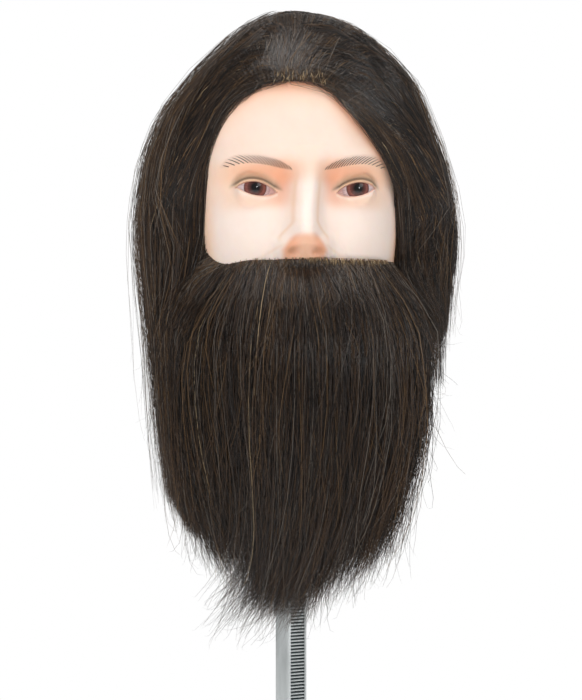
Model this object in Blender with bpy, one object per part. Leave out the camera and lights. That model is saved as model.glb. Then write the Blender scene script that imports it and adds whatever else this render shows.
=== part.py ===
"""Mannequin training head with long hair and a full beard, on a serrated-bar table clamp.

Units are metres, +Z is up. The origin is the centre of the rubber seat pad's underside,
which lies on the table top. The face looks along -Y. The clamp is turned about Z from the
way the face looks, so its pieces are placed by one turned empty, and the head's by another.
"""

from math import cos, pi, radians, sin

import bmesh
import bpy
import numpy as np
from mathutils import Matrix, Vector

# ---------------------------------------------------------------- driving dimensions
GAP = 0.0003  # between pieces that touch or slide

# Where things stand
CLAMP_TURN = radians(24)  # the clamp's jaws, turned from straight behind the face
REACH = 0.048  # from the bar's axis to the screw's and the seat pad's
EYE_Z = 0.350  # eye level above the table top

# Serrated bar
BAR_WIDTH = 0.0140
BAR_DEPTH = 0.0165
BAR_TOP = 0.150
BAR_BOTTOM = -0.132
BAR_ROUND = 0.0018
RACK_WIDTH = 0.0100
RACK_PITCH = 0.00205
RACK_FLOOR = 0.0004  # how far the tooth tips lie below the bar's face
RACK_TOOTH = 0.0010

# Jaws
JAW_WIDTH = 0.026
HUB_WALL = 0.0080
JAW_HUB_TOP = 0.026
JAW_TIP = 0.019  # past the seat pad's centre
PAD_THICK = 0.003
PAD_SIDE = 0.030
ARM_HUB_TOP = -0.062
ARM_HUB_BOTTOM = -0.096
ARM_BOSS_TOP = -0.066
ARM_BOSS_BOTTOM = -0.092
ARM_BOSS_RADIUS = 0.0135
PIN_RADIUS = 0.0025

# Clamp screw
FOOT_PAD_TOP = -0.040
FOOT_RADIUS = 0.018
FOOT_THICK = 0.0095
FOOT_PAD_THICK = 0.0025
SPINDLE_RADIUS = 0.0058
SPINDLE_END = -0.192
SPINDLE_HEAD_RADIUS = 0.0092
SPINDLE_HEAD_HEIGHT = 0.018
BUSH_RADIUS = 0.0095
TOMMY_RADIUS = 0.0030
TOMMY_LENGTH = 0.074

# Peg that the head turns on
HOLDER_BOTTOM = 0.127
HOLDER_NECK = 0.1546
HOLDER_TOP = 0.1666
PEG_FLANGE_TOP = 0.1747
PEG_FLANGE_THICK = 0.006
PEG_TOP = 0.250
BOLT_RADIUS = 0.004

# Head, in its own frame: eye level on the peg's axis
NECK_BASE = -0.175
SHELL_WALL = 0.004
NECK_PLATE_THICK = 0.006
PLATE_RADIUS = 0.0475
SOCKET_RADIUS = 0.018
SOCKET_BORE = 0.0135
SOCKET_TOP = -0.085
NECK_SCREW_RADIUS = 0.0014
EYE_APART = 0.0304  # from the middle of the face to each eye's centre
EYE_DEPTH = -0.0710  # the eye centre's y
EYE_RADIUS = 0.012
HAIR_GAP = 0.0014
CROWN_GAP = 0.0026
HANK_THICK = 0.028
BEARD_THICK = 0.036

# Bare head below the dome: height, half width, depth to the front, depth to the back
HEAD_MIDDLE, HEAD_RISE, HEAD_POWER = 0.040, 0.060, 2.15
HEAD_SECTIONS = (
    (-0.175, 0.0520, 0.0520, 0.0520),
    (-0.160, 0.0500, 0.0500, 0.0505),
    (-0.135, 0.0480, 0.0500, 0.0500),
    (-0.116, 0.0500, 0.0660, 0.0500),
    (-0.098, 0.0540, 0.0850, 0.0510),
    (-0.080, 0.0585, 0.0885, 0.0530),
    (-0.050, 0.0635, 0.0895, 0.0630),
    (-0.020, 0.0680, 0.0895, 0.0760),
    (0.010, 0.0715, 0.0905, 0.0850),
    (0.040, 0.0735, 0.0900, 0.0880),
)
# Outside of the combed hair and beard, the same way
HAIR_MIDDLE, HAIR_RISE, HAIR_POWER = -0.034, 0.146, 2.0
HAIR_SECTIONS = (
    (-0.265, 0.0720, 0.0880, 0.0780),
    (-0.225, 0.0780, 0.0980, 0.0820),
    (-0.192, 0.0830, 0.1060, 0.0860),
    (-0.160, 0.0880, 0.1130, 0.0900),
    (-0.130, 0.0910, 0.1190, 0.0950),
    (-0.097, 0.0950, 0.1220, 0.1000),
    (-0.065, 0.0985, 0.1200, 0.1050),
    (-0.034, 0.1010, 0.1200, 0.1080),
)
# The beard's two side edges: height, and the turn from the face's middle to each
BEARD_EDGES = (
    (-0.264, radians(-22), radians(-6)),
    (-0.243, radians(-20), radians(4)),
    (-0.229, radians(-20), radians(14)),
    (-0.213, radians(-23), radians(28)),
    (-0.200, radians(-33), radians(35)),
    (-0.185, radians(-47), radians(41)),
    (-0.165, radians(-47), radians(47)),
)


# ---------------------------------------------------------------- scene and materials
for old in list(bpy.data.objects):
    bpy.data.objects.remove(old)


def material(name, colour, roughness, metallic=0.0):
    made = bpy.data.materials.new(name)
    made.use_nodes = True
    shader = made.node_tree.nodes["Principled BSDF"]
    shader.inputs["Base Color"].default_value = (*colour, 1.0)
    shader.inputs["Roughness"].default_value = roughness
    shader.inputs["Metallic"].default_value = metallic
    return made


SKIN = material("skin_vinyl", (0.93, 0.72, 0.58), 0.5)
HAIR = material("hair", (0.035, 0.022, 0.015), 0.45)
EYE = material("eye_acrylic", (0.85, 0.78, 0.76), 0.1)
NYLON = material("black_nylon", (0.03, 0.03, 0.032), 0.45)
RUBBER = material("rubber", (0.045, 0.045, 0.045), 0.8)
ZINC = material("zinc_steel", (0.66, 0.69, 0.69), 0.32, 1.0)
CASTING = material("grey_casting", (0.20, 0.21, 0.22), 0.5)
BRASS = material("brass", (0.72, 0.55, 0.24), 0.3, 1.0)

jaws_way = Vector((-sin(CLAMP_TURN), cos(CLAMP_TURN), 0))
bar_axis = -REACH * jaws_way


def frame_empty(name, location, turn):
    empty = bpy.data.objects.new(name, None)
    bpy.context.scene.collection.objects.link(empty)
    empty.location = location
    empty.rotation_euler = (0, 0, turn)
    return empty


CLAMP = frame_empty("clamp_frame", (0, 0, 0), CLAMP_TURN)  # +Y here is the jaws' way
HEAD = frame_empty("head_frame", (bar_axis.x, bar_axis.y, EYE_Z), 0)
BAR_Y = -REACH  # the bar's axis in the clamp's frame


# ---------------------------------------------------------------- modelling helpers
def add(name, bm, surface, parent, at=(0, 0, 0), smooth=radians(35)):
    """Turns a bmesh into a named, shaded object under one of the two frames."""
    bmesh.ops.recalc_face_normals(bm, faces=bm.faces)
    mesh = bpy.data.meshes.new(name)
    bm.to_mesh(mesh)
    bm.free()
    mesh.materials.append(surface)
    mesh.shade_smooth()
    mesh.set_sharp_from_angle(angle=smooth)
    made = bpy.data.objects.new(name, mesh)
    bpy.context.scene.collection.objects.link(made)
    made.parent = parent
    made.location = at
    return made


def prism(outline, low, high):
    """A bmesh of a flat outline in X and Y, pulled up from low to high."""
    bm = bmesh.new()
    base = bm.faces.new([bm.verts.new((x, y, low)) for x, y in outline])
    pulled = bmesh.ops.extrude_face_region(bm, geom=[base])
    top = [v for v in pulled["geom"] if isinstance(v, bmesh.types.BMVert)]
    bmesh.ops.translate(bm, verts=top, vec=(0, 0, high - low))
    return bm


def side_prism(outline, half_width):
    """A bmesh of an outline in Y and Z, as wide in X as twice half_width."""
    bm = prism(outline, -half_width, half_width)
    turn = Matrix(((0, 0, 1), (1, 0, 0), (0, 1, 0))).to_4x4()
    bmesh.ops.transform(bm, matrix=turn, verts=bm.verts)
    return bm


def rounded(half_x, half_y, radius, steps=3):
    """The outline of a rectangle with round corners, centred on nothing."""
    points = []
    for quarter, (sx, sy) in enumerate(((1, 1), (-1, 1), (-1, -1), (1, -1))):
        for step in range(steps + 1):
            turn = (quarter + step / steps) * pi / 2
            x = sx * (half_x - radius) + radius * cos(turn)
            y = sy * (half_y - radius) + radius * sin(turn)
            points.append((x, y))
    return points


def turned(profile, steps=24):
    """A bmesh of a profile of (radius, height) points turned about Z. It may be a ring."""
    bm = bmesh.new()
    points = [bm.verts.new((r, 0, z)) for r, z in profile]
    ring = profile[0][0] > 0
    ends = zip(points, points[1:] + points[:1]) if ring else zip(points, points[1:])
    edges = [bm.edges.new(pair) for pair in ends]
    bmesh.ops.spin(
        bm,
        geom=points + edges,
        cent=(0, 0, 0),
        axis=(0, 0, 1),
        angle=2 * pi,
        steps=steps,
        use_merge=True,
    )
    bmesh.ops.remove_doubles(bm, verts=bm.verts, dist=1e-6)
    return bm


def lying(bm, axis):
    """Turns a bmesh made along Z so that it runs along X or Y."""
    way = {"X": Vector((1, 0, 0)), "Y": Vector((0, 1, 0))}[axis]
    turn = Vector((0, 0, 1)).rotation_difference(way).to_matrix().to_4x4()
    bmesh.ops.transform(bm, matrix=turn, verts=bm.verts)
    return bm


def rod(radius, low, high, chamfer=0.0, steps=24):
    """A turned rod with an optional chamfer at both ends."""
    if not chamfer:
        return turned([(0, low), (radius, low), (radius, high), (0, high)], steps)
    inner = radius - chamfer
    return turned(
        [
            (0, low),
            (inner, low),
            (radius, low + chamfer),
            (radius, high - chamfer),
            (inner, high),
            (0, high),
        ],
        steps,
    )


def ring(inner, outer, low, high, steps=24):
    return turned([(inner, low), (outer, low), (outer, high), (inner, high)], steps)


def combine(target, operation, name, bm, parent, at=(0, 0, 0)):
    """Cuts a helper's shape from target, or joins it on. The helper isn't a piece."""
    helper = add(name, bm, RUBBER, parent, at)
    helper.hide_render = True
    helper.display_type = "WIRE"
    change = target.modifiers.new(name, "BOOLEAN")
    change.operation = operation
    change.object = helper
    return helper


def bevelled(piece, width):
    """Breaks the sharp edges of a casting or moulding."""
    change = piece.modifiers.new("edges", "BEVEL")
    change.width = width
    change.segments = 1
    change.limit_method = "ANGLE"
    change.angle_limit = radians(50)


# ---------------------------------------------------------------- surfaces of the head
def through(sections, column, z):
    """A smooth curve through one column of a table of sections, level at its top end."""
    height = np.array([row[0] for row in sections])
    value = np.array([row[column] for row in sections])
    slope = np.gradient(value, height)
    slope[-1] = 0.0
    z = np.clip(z, height[0], height[-1])
    i = np.clip(np.searchsorted(height, z) - 1, 0, len(height) - 2)
    step = height[i + 1] - height[i]
    t = (z - height[i]) / step
    rise = t * t * (3 - 2 * t)
    from_left = t * (1 - t) ** 2 * step * slope[i]
    from_right = t * t * (t - 1) * step * slope[i + 1]
    return value[i] * (1 - rise) + value[i + 1] * rise + from_left + from_right


def oval(sections, middle, rise, power, turn, z, lift=0.0):
    """The distance to an oval surface from the peg's axis at height z or, above middle,
    from the axis at middle's height, looking up by lift. turn is 0 at the face and pi at
    the back of the head."""
    side = through(sections, 1, z)
    front = through(sections, 2, z)
    back = through(sections, 3, z)
    depth = np.where(np.cos(turn) > 0, front, back)
    flat = np.cos(lift)
    parts = (
        np.abs(flat * np.sin(turn) / side) ** power
        + np.abs(flat * np.cos(turn) / depth) ** power
        + np.abs(np.sin(lift) / rise) ** power
    )
    return parts ** (-1 / power)


def bump(x, z, at_x, at_z, wide, tall):
    """A smooth hump of height 1 in the plane of the face."""
    return np.exp(-(((x - at_x) / wide) ** 2) - ((z - at_z) / tall) ** 2)


def face_relief(x, z):
    """How far the features stand out from the oval head towards the front."""
    side = np.abs(x)
    nose_line = np.interp(
        z,
        (-0.046, -0.041, -0.034, -0.015, 0.008, 0.022),
        (0, 0.017, 0.022, 0.013, 0.004, 0),
    )
    nose_half = np.interp(z, (-0.04, 0.0), (0.0095, 0.0070))
    nose = nose_line * np.exp(-((side / nose_half) ** 2))
    wings = 0.008 * bump(side, z, 0.0115, -0.036, 0.006, 0.006)
    brow = 0.003 * bump(side, z, 0.028, 0.017, 0.022, 0.008)
    socket = -0.0055 * bump(side, z, EYE_APART, 0.0, 0.017, 0.011)
    cheek = 0.003 * bump(side, z, 0.040, -0.026, 0.020, 0.018)
    lips = 0.004 * bump(side, z, 0, -0.062, 0.022, 0.010)
    chin = 0.003 * bump(side, z, 0, -0.094, 0.018, 0.012)
    return nose + wings + brow + socket + cheek + lips + chin


def ear_bulge(turn, z):
    return 0.012 * bump(np.abs(turn), z, radians(97), -0.012, radians(10), 0.020)


def on_head(turn, level, grow=0.0):
    """A point of the bare head. level runs from 0 at the neck's base to 1 at the dome's
    edge and 2 at the top of the head."""
    low, high = HEAD_SECTIONS[0][0], HEAD_MIDDLE
    z = low + np.clip(level, 0, 1) * (high - low)
    lift = np.clip(level - 1, 0, 1) * pi / 2
    reach = oval(HEAD_SECTIONS, HEAD_MIDDLE, HEAD_RISE, HEAD_POWER, turn, z, lift)
    reach = reach + grow + ear_bulge(turn, z) * (grow >= 0)
    flat = reach * np.cos(lift)
    point = np.array((flat * np.sin(turn), -flat * np.cos(turn), z + reach * np.sin(lift)))
    if grow >= 0 and np.cos(turn) > 0:
        point[1] -= face_relief(point[0], point[2])
    return point


def closed_rings(rings, pole=None):
    """A bmesh skin over rings of points, with a flat floor and a pole or a flat top."""
    bm = bmesh.new()
    rows = [[bm.verts.new(point) for point in ring_points] for ring_points in rings]
    for lower, upper in zip(rows, rows[1:]):
        for i in range(len(lower)):
            j = (i + 1) % len(lower)
            bm.faces.new((lower[i], lower[j], upper[j], upper[i]))
    bm.faces.new(reversed(rows[0]))
    if pole is None:
        bm.faces.new(rows[-1])
        return bm
    tip = bm.verts.new(pole)
    for i in range(len(rows[-1])):
        bm.faces.new((rows[-1][i], rows[-1][(i + 1) % len(rows[-1])], tip))
    return bm


def head_form(columns, levels, grow, floor):
    turns = [2 * pi * (i + 0.5) / columns - pi for i in range(columns)]
    rings = [[on_head(turn, level, grow) for turn in turns] for level in levels]
    for point in rings[0]:
        point[2] = floor
    return closed_rings(rings, on_head(0.0, 2.0, grow))


# ---------------------------------------------------------------- the head
def make_head_shell():
    """Hollow vinyl shell: face, ears, scalp and neck in one, open at the neck's base."""
    levels = np.concatenate((np.linspace(0, 1, 28), 1 + np.linspace(0, 0.95, 7)[1:]))
    shell = add("head_shell", head_form(38, levels, 0.0, NECK_BASE), SKIN, HEAD)
    hollow = np.concatenate((np.linspace(0, 1, 11), 1 + np.linspace(0, 0.9, 5)[1:]))
    inside = head_form(20, hollow, -SHELL_WALL, NECK_BASE - 0.01)
    combine(shell, "DIFFERENCE", "head_hollow", inside, HEAD)
    mouth = rod(PLATE_RADIUS + GAP, NECK_BASE - 0.01, NECK_BASE + NECK_PLATE_THICK + GAP, steps=32)
    combine(shell, "DIFFERENCE", "neck_mouth", mouth, HEAD)
    for side, name in ((-1, "right"), (1, "left")):
        hole = bmesh.new()
        bmesh.ops.create_uvsphere(
            hole, u_segments=20, v_segments=12, radius=EYE_RADIUS + GAP
        )
        where = (side * EYE_APART, EYE_DEPTH, 0)
        combine(shell, "DIFFERENCE", f"eye_hole_{name}", hole, HEAD, where)
    return shell


def make_eye(name, side):
    """A moulded eye, set into the shell from inside. Its back is cut flat."""
    ball = bmesh.new()
    bmesh.ops.create_uvsphere(ball, u_segments=20, v_segments=12, radius=EYE_RADIUS)
    lie = Matrix.Rotation(pi / 2, 4, "X")
    bmesh.ops.transform(ball, matrix=lie, verts=ball.verts)
    bmesh.ops.bisect_plane(
        ball,
        geom=ball.verts[:] + ball.edges[:] + ball.faces[:],
        plane_co=(0, EYE_RADIUS * 0.45, 0),
        plane_no=(0, 1, 0),
        clear_outer=True,
    )
    rim = [edge for edge in ball.edges if edge.is_boundary]
    bmesh.ops.holes_fill(ball, edges=rim)
    add(name, ball, EYE, HEAD, (side * EYE_APART, EYE_DEPTH, 0))


def neck_screw_ways():
    """The four ways that the neck's screws point, from the peg's axis."""
    return [radians(45 + 90 * i) for i in range(4)]


def make_neck_plate(shell):
    """Plate that closes the neck, with the blind socket that drops over the peg."""
    top = NECK_BASE + NECK_PLATE_THICK
    plate = add(
        "neck_plate",
        turned(
            [
                (SOCKET_BORE, NECK_BASE),
                (PLATE_RADIUS, NECK_BASE),
                (PLATE_RADIUS, top),
                (SOCKET_RADIUS + 0.002, top),
                (SOCKET_RADIUS, top + 0.002),
                (SOCKET_RADIUS, SOCKET_TOP),
                (0.0, SOCKET_TOP),
                (0.0, SOCKET_TOP - 0.003),
                (SOCKET_BORE, SOCKET_TOP - 0.003),
            ],
            32,
        ),
        NYLON,
        HEAD,
    )
    height = NECK_BASE + NECK_PLATE_THICK / 2
    for number, way in enumerate(neck_screw_ways(), 1):
        hole = lying(rod(NECK_SCREW_RADIUS + GAP, 0.0385, 0.060, steps=12), "X")
        turn = Matrix.Rotation(way, 4, "Z")
        bmesh.ops.transform(hole, matrix=turn, verts=hole.verts)
        helper = combine(
            plate, "DIFFERENCE", f"neck_hole_{number}", hole, HEAD, (0, 0, height)
        )
        cut = shell.modifiers.new(f"neck_hole_{number}", "BOOLEAN")
        cut.operation = "DIFFERENCE"
        cut.object = helper


def make_neck_screws():
    height = NECK_BASE + NECK_PLATE_THICK / 2
    neck = head_reach(radians(45), height) + GAP
    profile = [
        (0, 0.040),
        (NECK_SCREW_RADIUS, 0.0415),
        (NECK_SCREW_RADIUS, neck),
        (0.0028, neck),
        (0.0025, neck + 0.0012),
        (0.0014, neck + 0.0018),
        (0, neck + 0.0019),
    ]
    for number, way in enumerate(neck_screw_ways(), 1):
        screw = lying(turned(profile, 14), "X")
        turn = Matrix.Rotation(way, 4, "Z")
        bmesh.ops.transform(screw, matrix=turn, verts=screw.verts)
        add(f"neck_screw_{number}", screw, ZINC, HEAD, (0, 0, height))


# ---------------------------------------------------------------- hair and beard
def hair_outer(turn, z, lift=0.0):
    return oval(HAIR_SECTIONS, HAIR_MIDDLE, HAIR_RISE, HAIR_POWER, turn, z, lift)


def head_reach(turn, z):
    """How far the bare head stands from the axis at height z, features left out."""
    below = oval(HEAD_SECTIONS, HEAD_MIDDLE, HEAD_RISE, HEAD_POWER, turn, z)
    up = np.clip((z - HEAD_MIDDLE) / HEAD_RISE, 0, 0.999)
    return below * (1 - up**HEAD_POWER) ** (1 / HEAD_POWER)


def hair_inner(turn, z):
    """The inside of a hank: just clear of the head or, below it, a set way from outside."""
    ear = 1.2 * ear_bulge(turn, z)
    clear = head_reach(turn, z) + ear + HAIR_GAP
    return np.maximum(clear, hair_outer(turn, z) - HANK_THICK)


def slab(turns, heights, inner, outer):
    """A bmesh of a curved hank: a grid of turn by height, with an inside and an outside.
    heights is a function of turn, and inner and outer are functions of turn and height."""
    bm = bmesh.new()
    faces = []
    for reach in (outer, inner):
        rows = []
        for turn in turns:
            row = []
            for z in heights(turn):
                r = reach(turn, z)
                row.append(bm.verts.new((r * sin(turn), -r * cos(turn), z)))
            rows.append(row)
        faces.append(rows)
    out, back = faces
    count, tall = len(out), len(out[0])
    for i in range(count - 1):
        for j in range(tall - 1):
            bm.faces.new((out[i][j], out[i + 1][j], out[i + 1][j + 1], out[i][j + 1]))
            bm.faces.new((back[i][j], back[i][j + 1], back[i + 1][j + 1], back[i + 1][j]))
    for i in range(count - 1):
        bm.faces.new((out[i][0], back[i][0], back[i + 1][0], out[i + 1][0]))
        bm.faces.new((out[i][-1], out[i + 1][-1], back[i + 1][-1], back[i][-1]))
    for j in range(tall - 1):
        bm.faces.new((out[0][j], out[0][j + 1], back[0][j + 1], back[0][j]))
        bm.faces.new((out[-1][j], back[-1][j], back[-1][j + 1], out[-1][j + 1]))
    return bm


CROWN_EDGE = 0.036  # where the crown's hair meets the side and back hanks
FACE_EDGE = radians(47)  # where the beard and the side hanks meet
BACK_EDGE = radians(122)
SIDE_ENDS = {"hair_right": -0.200, "hair_left": -0.112}  # the left lock is cut shorter
BACK_END = -0.192
CROWN_THIN = 0.003  # least thickness of the crown's hair, at the hairline
BEARD_TOP = -0.0445


def make_crown():
    """Combed hair over the dome of the head, above the hairline."""
    columns, rows = 32, 7

    def edge(turn):
        """Its lower edge, which rises to the hairline over the forehead."""
        return CROWN_EDGE + 0.032 * np.exp(-((turn / radians(34)) ** 4))

    def ring_at(share, outside):
        points = []
        for i in range(columns):
            turn = 2 * pi * (i + 0.5) / columns - pi
            z = edge(turn)
            if outside:
                low = np.arcsin(np.clip((z - HAIR_MIDDLE) / HAIR_RISE, -1, 1))
                lift = low + share * (pi / 2 - low)
                flat = np.cos(lift) * through(HAIR_SECTIONS, 1, HAIR_MIDDLE)
                front = np.cos(lift) * through(
                    HAIR_SECTIONS, 2 if cos(turn) > 0 else 3, HAIR_MIDDLE
                )
                height = HAIR_MIDDLE + HAIR_RISE * np.sin(lift)
                least = head_reach(turn, height) + CROWN_GAP + CROWN_THIN
                r = max(1 / np.hypot(sin(turn) / flat, cos(turn) / front), least)
            else:
                top = HEAD_MIDDLE + HEAD_RISE + CROWN_GAP
                height = z + share * (top - z)
                r = head_reach(turn, height - CROWN_GAP) + CROWN_GAP
            points.append((r * sin(turn), -r * cos(turn), height))
        return points

    shares = np.sin(np.linspace(0, 0.97, rows) * pi / 2)
    outer = [ring_at(share, True) for share in np.linspace(0, 0.96, rows)]
    inner = [ring_at(share, False) for share in shares]
    bm = bmesh.new()
    shells = []
    for rings, pole in (
        (outer, (0, 0, HAIR_MIDDLE + HAIR_RISE)),
        (inner, (0, 0, HEAD_MIDDLE + HEAD_RISE + CROWN_GAP)),
    ):
        made = [[bm.verts.new(p) for p in points] for points in rings]
        tip = bm.verts.new(pole)
        for lower, upper in zip(made, made[1:]):
            for i in range(columns):
                j = (i + 1) % columns
                bm.faces.new((lower[i], lower[j], upper[j], upper[i]))
        for i in range(columns):
            bm.faces.new((made[-1][i], made[-1][(i + 1) % columns], tip))
        shells.append(made)
    for i in range(columns):
        j = (i + 1) % columns
        bm.faces.new((shells[0][0][i], shells[1][0][i], shells[1][0][j], shells[0][0][j]))
    add("hair_crown", bm, HAIR, HEAD)


def dome_outer(turn, z):
    """The hair's outside at any height."""
    up = np.clip((z - HAIR_MIDDLE) / HAIR_RISE, 0, 0.999)
    return hair_outer(turn, z) * (1 - up**2) ** 0.5


def thinning(z, bottom):
    """How much of its thickness a hank keeps near its lower end."""
    return 1 - 0.5 * np.clip((bottom + 0.05 - z) / 0.05, 0, 1) ** 2


def make_side_hank(name, side):
    """Hair that falls from the temple past the cheek, and covers the ear."""
    turns = np.linspace(FACE_EDGE + radians(2), BACK_EDGE - radians(0.3), 11)
    bottom = SIDE_ENDS[name]

    def heights(turn):
        return np.linspace(CROWN_EDGE - 0.0005, bottom, 15)

    def inner(turn, z):
        return hair_inner(abs(turn), z)

    def outer(turn, z):
        thin = 1 - 0.45 * np.exp(-((abs(turn) - turns[0]) / radians(6)))
        full = dome_outer(turn, z) - inner(turn, z)
        return inner(turn, z) + full * thin * thinning(z, bottom)

    add(name, slab(turns * side, heights, inner, outer), HAIR, HEAD)


def make_back_hank():
    turns = np.linspace(BACK_EDGE + radians(0.3), 2 * pi - BACK_EDGE - radians(0.3), 15)

    def heights(turn):
        return np.linspace(CROWN_EDGE - 0.0005, BACK_END, 15)

    def inner(turn, z):
        return hair_inner(turn if turn < pi else 2 * pi - turn, z)

    def outer(turn, z):
        full = dome_outer(turn, z) - inner(turn, z)
        return inner(turn, z) + full * thinning(z, BACK_END)

    add("hair_back", slab(turns, heights, inner, outer), HAIR, HEAD)


def make_beard():
    """Moustache and beard in one curtain, from under the nose to a point at the chest."""
    rows = np.linspace(BEARD_TOP, -0.264, 15)
    shares = np.linspace(-1, 1, 17)

    heights, right, left = np.array(BEARD_EDGES).T

    bm = bmesh.new()
    grids = []
    for outside in (True, False):
        grid = []
        for share in shares:
            row = []
            for z in rows:
                edges = np.interp(z, heights, right), np.interp(z, heights, left)
                turn = (edges[0] + edges[1] + share * (edges[1] - edges[0])) / 2
                clear = head_reach(turn, z) + HAIR_GAP + 0.0015
                across = clear * sin(turn)
                relief = max(face_relief(across, z + near) for near in (-0.005, 0, 0.005))
                clear = np.hypot(across, clear * cos(turn) + relief)
                inner = max(clear, dome_outer(turn, z) - BEARD_THICK)
                puff = np.clip((BEARD_TOP - z) / 0.030, 0, 1) ** 0.5
                edge = 1 - 0.4 * abs(share) ** 6
                tail = 1 - 0.6 * np.clip((-0.20 - z) / 0.064, 0, 1) ** 1.5
                full = max(dome_outer(turn, z) - inner, 0.006)
                thick = 0.004 + (full - 0.004) * puff * edge * tail
                r = inner + thick if outside else inner
                row.append(bm.verts.new((r * sin(turn), -r * cos(turn), z)))
            grid.append(row)
        grids.append(grid)
    out, back = grids
    for i in range(len(shares) - 1):
        for j in range(len(rows) - 1):
            bm.faces.new((out[i][j], out[i][j + 1], out[i + 1][j + 1], out[i + 1][j]))
            bm.faces.new((back[i][j], back[i + 1][j], back[i + 1][j + 1], back[i][j + 1]))
        bm.faces.new((out[i][0], out[i + 1][0], back[i + 1][0], back[i][0]))
        bm.faces.new((out[i][-1], back[i][-1], back[i + 1][-1], out[i + 1][-1]))
    for j in range(len(rows) - 1):
        bm.faces.new((out[0][j], back[0][j], back[0][j + 1], out[0][j + 1]))
        bm.faces.new((out[-1][j], out[-1][j + 1], back[-1][j + 1], back[-1][j]))
    add("beard", bm, HAIR, HEAD)


# ---------------------------------------------------------------- the peg
def make_holder():
    """Casting that caps the bar and carries the peg, with its cross pin's hole."""
    half_x = BAR_WIDTH / 2 + 0.0062
    half_y = BAR_DEPTH / 2 + 0.0062
    body = prism(rounded(half_x, half_y, 0.004), HOLDER_BOTTOM, HOLDER_NECK + 0.001)
    holder = add("peg_holder", body, CASTING, CLAMP, (0, BAR_Y, 0))
    table = turned(
        [
            (0, HOLDER_NECK - 0.004),
            (0.014, HOLDER_NECK - 0.004),
            (0.021, HOLDER_NECK + 0.003),
            (0.021, HOLDER_TOP),
            (0, HOLDER_TOP),
        ],
        28,
    )
    combine(holder, "UNION", "holder_table", table, CLAMP, (0, BAR_Y, 0))
    pocket = prism(
        rounded(BAR_WIDTH / 2 + GAP, BAR_DEPTH / 2 + GAP, BAR_ROUND),
        HOLDER_BOTTOM - 0.01,
        BAR_TOP + GAP,
    )
    combine(holder, "DIFFERENCE", "holder_pocket", pocket, CLAMP, (0, BAR_Y, 0))
    tapped = rod(BOLT_RADIUS + GAP, BAR_TOP - 0.001, HOLDER_TOP + 0.01)
    combine(holder, "DIFFERENCE", "holder_tapped_hole", tapped, CLAMP, (0, BAR_Y, 0))
    return holder


def make_peg():
    """Tapered nylon peg that the neck's socket drops over. It turns on the pivot bolt."""
    low = PEG_FLANGE_TOP - PEG_FLANGE_THICK
    shelf = PEG_FLANGE_TOP + 0.008
    profile = [
        (BOLT_RADIUS + GAP, low),
        (0.024, low),
        (0.024, PEG_FLANGE_TOP - 0.001),
        (0.023, PEG_FLANGE_TOP),
        (0.0128, PEG_FLANGE_TOP),
        (0.0112, PEG_TOP - 0.002),
        (0.0100, PEG_TOP),
        (0.0085, PEG_TOP),
        (0.0085, shelf),
        (BOLT_RADIUS + GAP, shelf),
    ]
    add("peg", turned(profile, 28), NYLON, CLAMP, (0, BAR_Y, 0))
    at = (0, BAR_Y, 0)
    friction = ring(BOLT_RADIUS + GAP, 0.019, HOLDER_TOP + GAP, low - GAP)
    add("friction_washer", friction, NYLON, CLAMP, at)
    washer = shelf + GAP
    add("bolt_washer", ring(BOLT_RADIUS + GAP, 0.0078, washer, washer + 0.0014), ZINC, CLAMP, at)
    spring = washer + 0.0014 + GAP
    add("spring_washer", ring(BOLT_RADIUS + GAP, 0.0068, spring, spring + 0.0020), ZINC, CLAMP, at)
    seat = spring + 0.0020 + GAP
    bolt = turned(
        [
            (0, BAR_TOP + 0.0015),
            (BOLT_RADIUS - 0.0008, BAR_TOP + 0.0015),
            (BOLT_RADIUS, BAR_TOP + 0.0025),
            (BOLT_RADIUS, seat),
            (0.0065, seat),
            (0.0065, seat + 0.0075),
            (0.0060, seat + 0.0080),
            (0, seat + 0.0080),
        ],
        24,
    )
    made = add("pivot_bolt", bolt, ZINC, CLAMP, at)
    key = rod(0.0034, seat + 0.0035, seat + 0.02, steps=6)
    combine(made, "DIFFERENCE", "bolt_key", key, CLAMP, at)


# ---------------------------------------------------------------- the bar and its jaws
def make_bar():
    """Steel bar with a sunk band of fine teeth down its front."""
    body = prism(rounded(BAR_WIDTH / 2, BAR_DEPTH / 2, BAR_ROUND), BAR_BOTTOM, BAR_TOP)
    bar = add("serrated_bar", body, ZINC, CLAMP, (0, BAR_Y, 0))
    front = -BAR_DEPTH / 2
    low, high = BAR_BOTTOM + 0.004, BAR_TOP - 0.003
    count = int((high - low) / RACK_PITCH)
    teeth = []
    for i in range(count):
        z = low + i * RACK_PITCH
        teeth.append((front + RACK_FLOOR, z + 0.12 * RACK_PITCH))
        teeth.append((front + RACK_FLOOR, z + 0.42 * RACK_PITCH))
        teeth.append((front + RACK_FLOOR + RACK_TOOTH, z + 0.88 * RACK_PITCH))
    outline = [(front - 0.004, low), *teeth, (front - 0.004, low + count * RACK_PITCH)]
    combine(bar, "DIFFERENCE", "rack", side_prism(outline, RACK_WIDTH / 2), CLAMP, (0, BAR_Y, 0))
    for name, z in (("holder", 0.139), ("jaw_low", 0.008), ("jaw_high", 0.019)):
        hole = lying(rod(PIN_RADIUS + GAP, -0.02, 0.02, steps=16), "X")
        combine(bar, "DIFFERENCE", f"bar_hole_{name}", hole, CLAMP, (0, BAR_Y, z))
    tapped = rod(0.0025 + GAP, BAR_BOTTOM - 0.01, BAR_BOTTOM + 0.016, steps=16)
    combine(bar, "DIFFERENCE", "bar_end_hole", tapped, CLAMP, (0, BAR_Y, 0))


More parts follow.
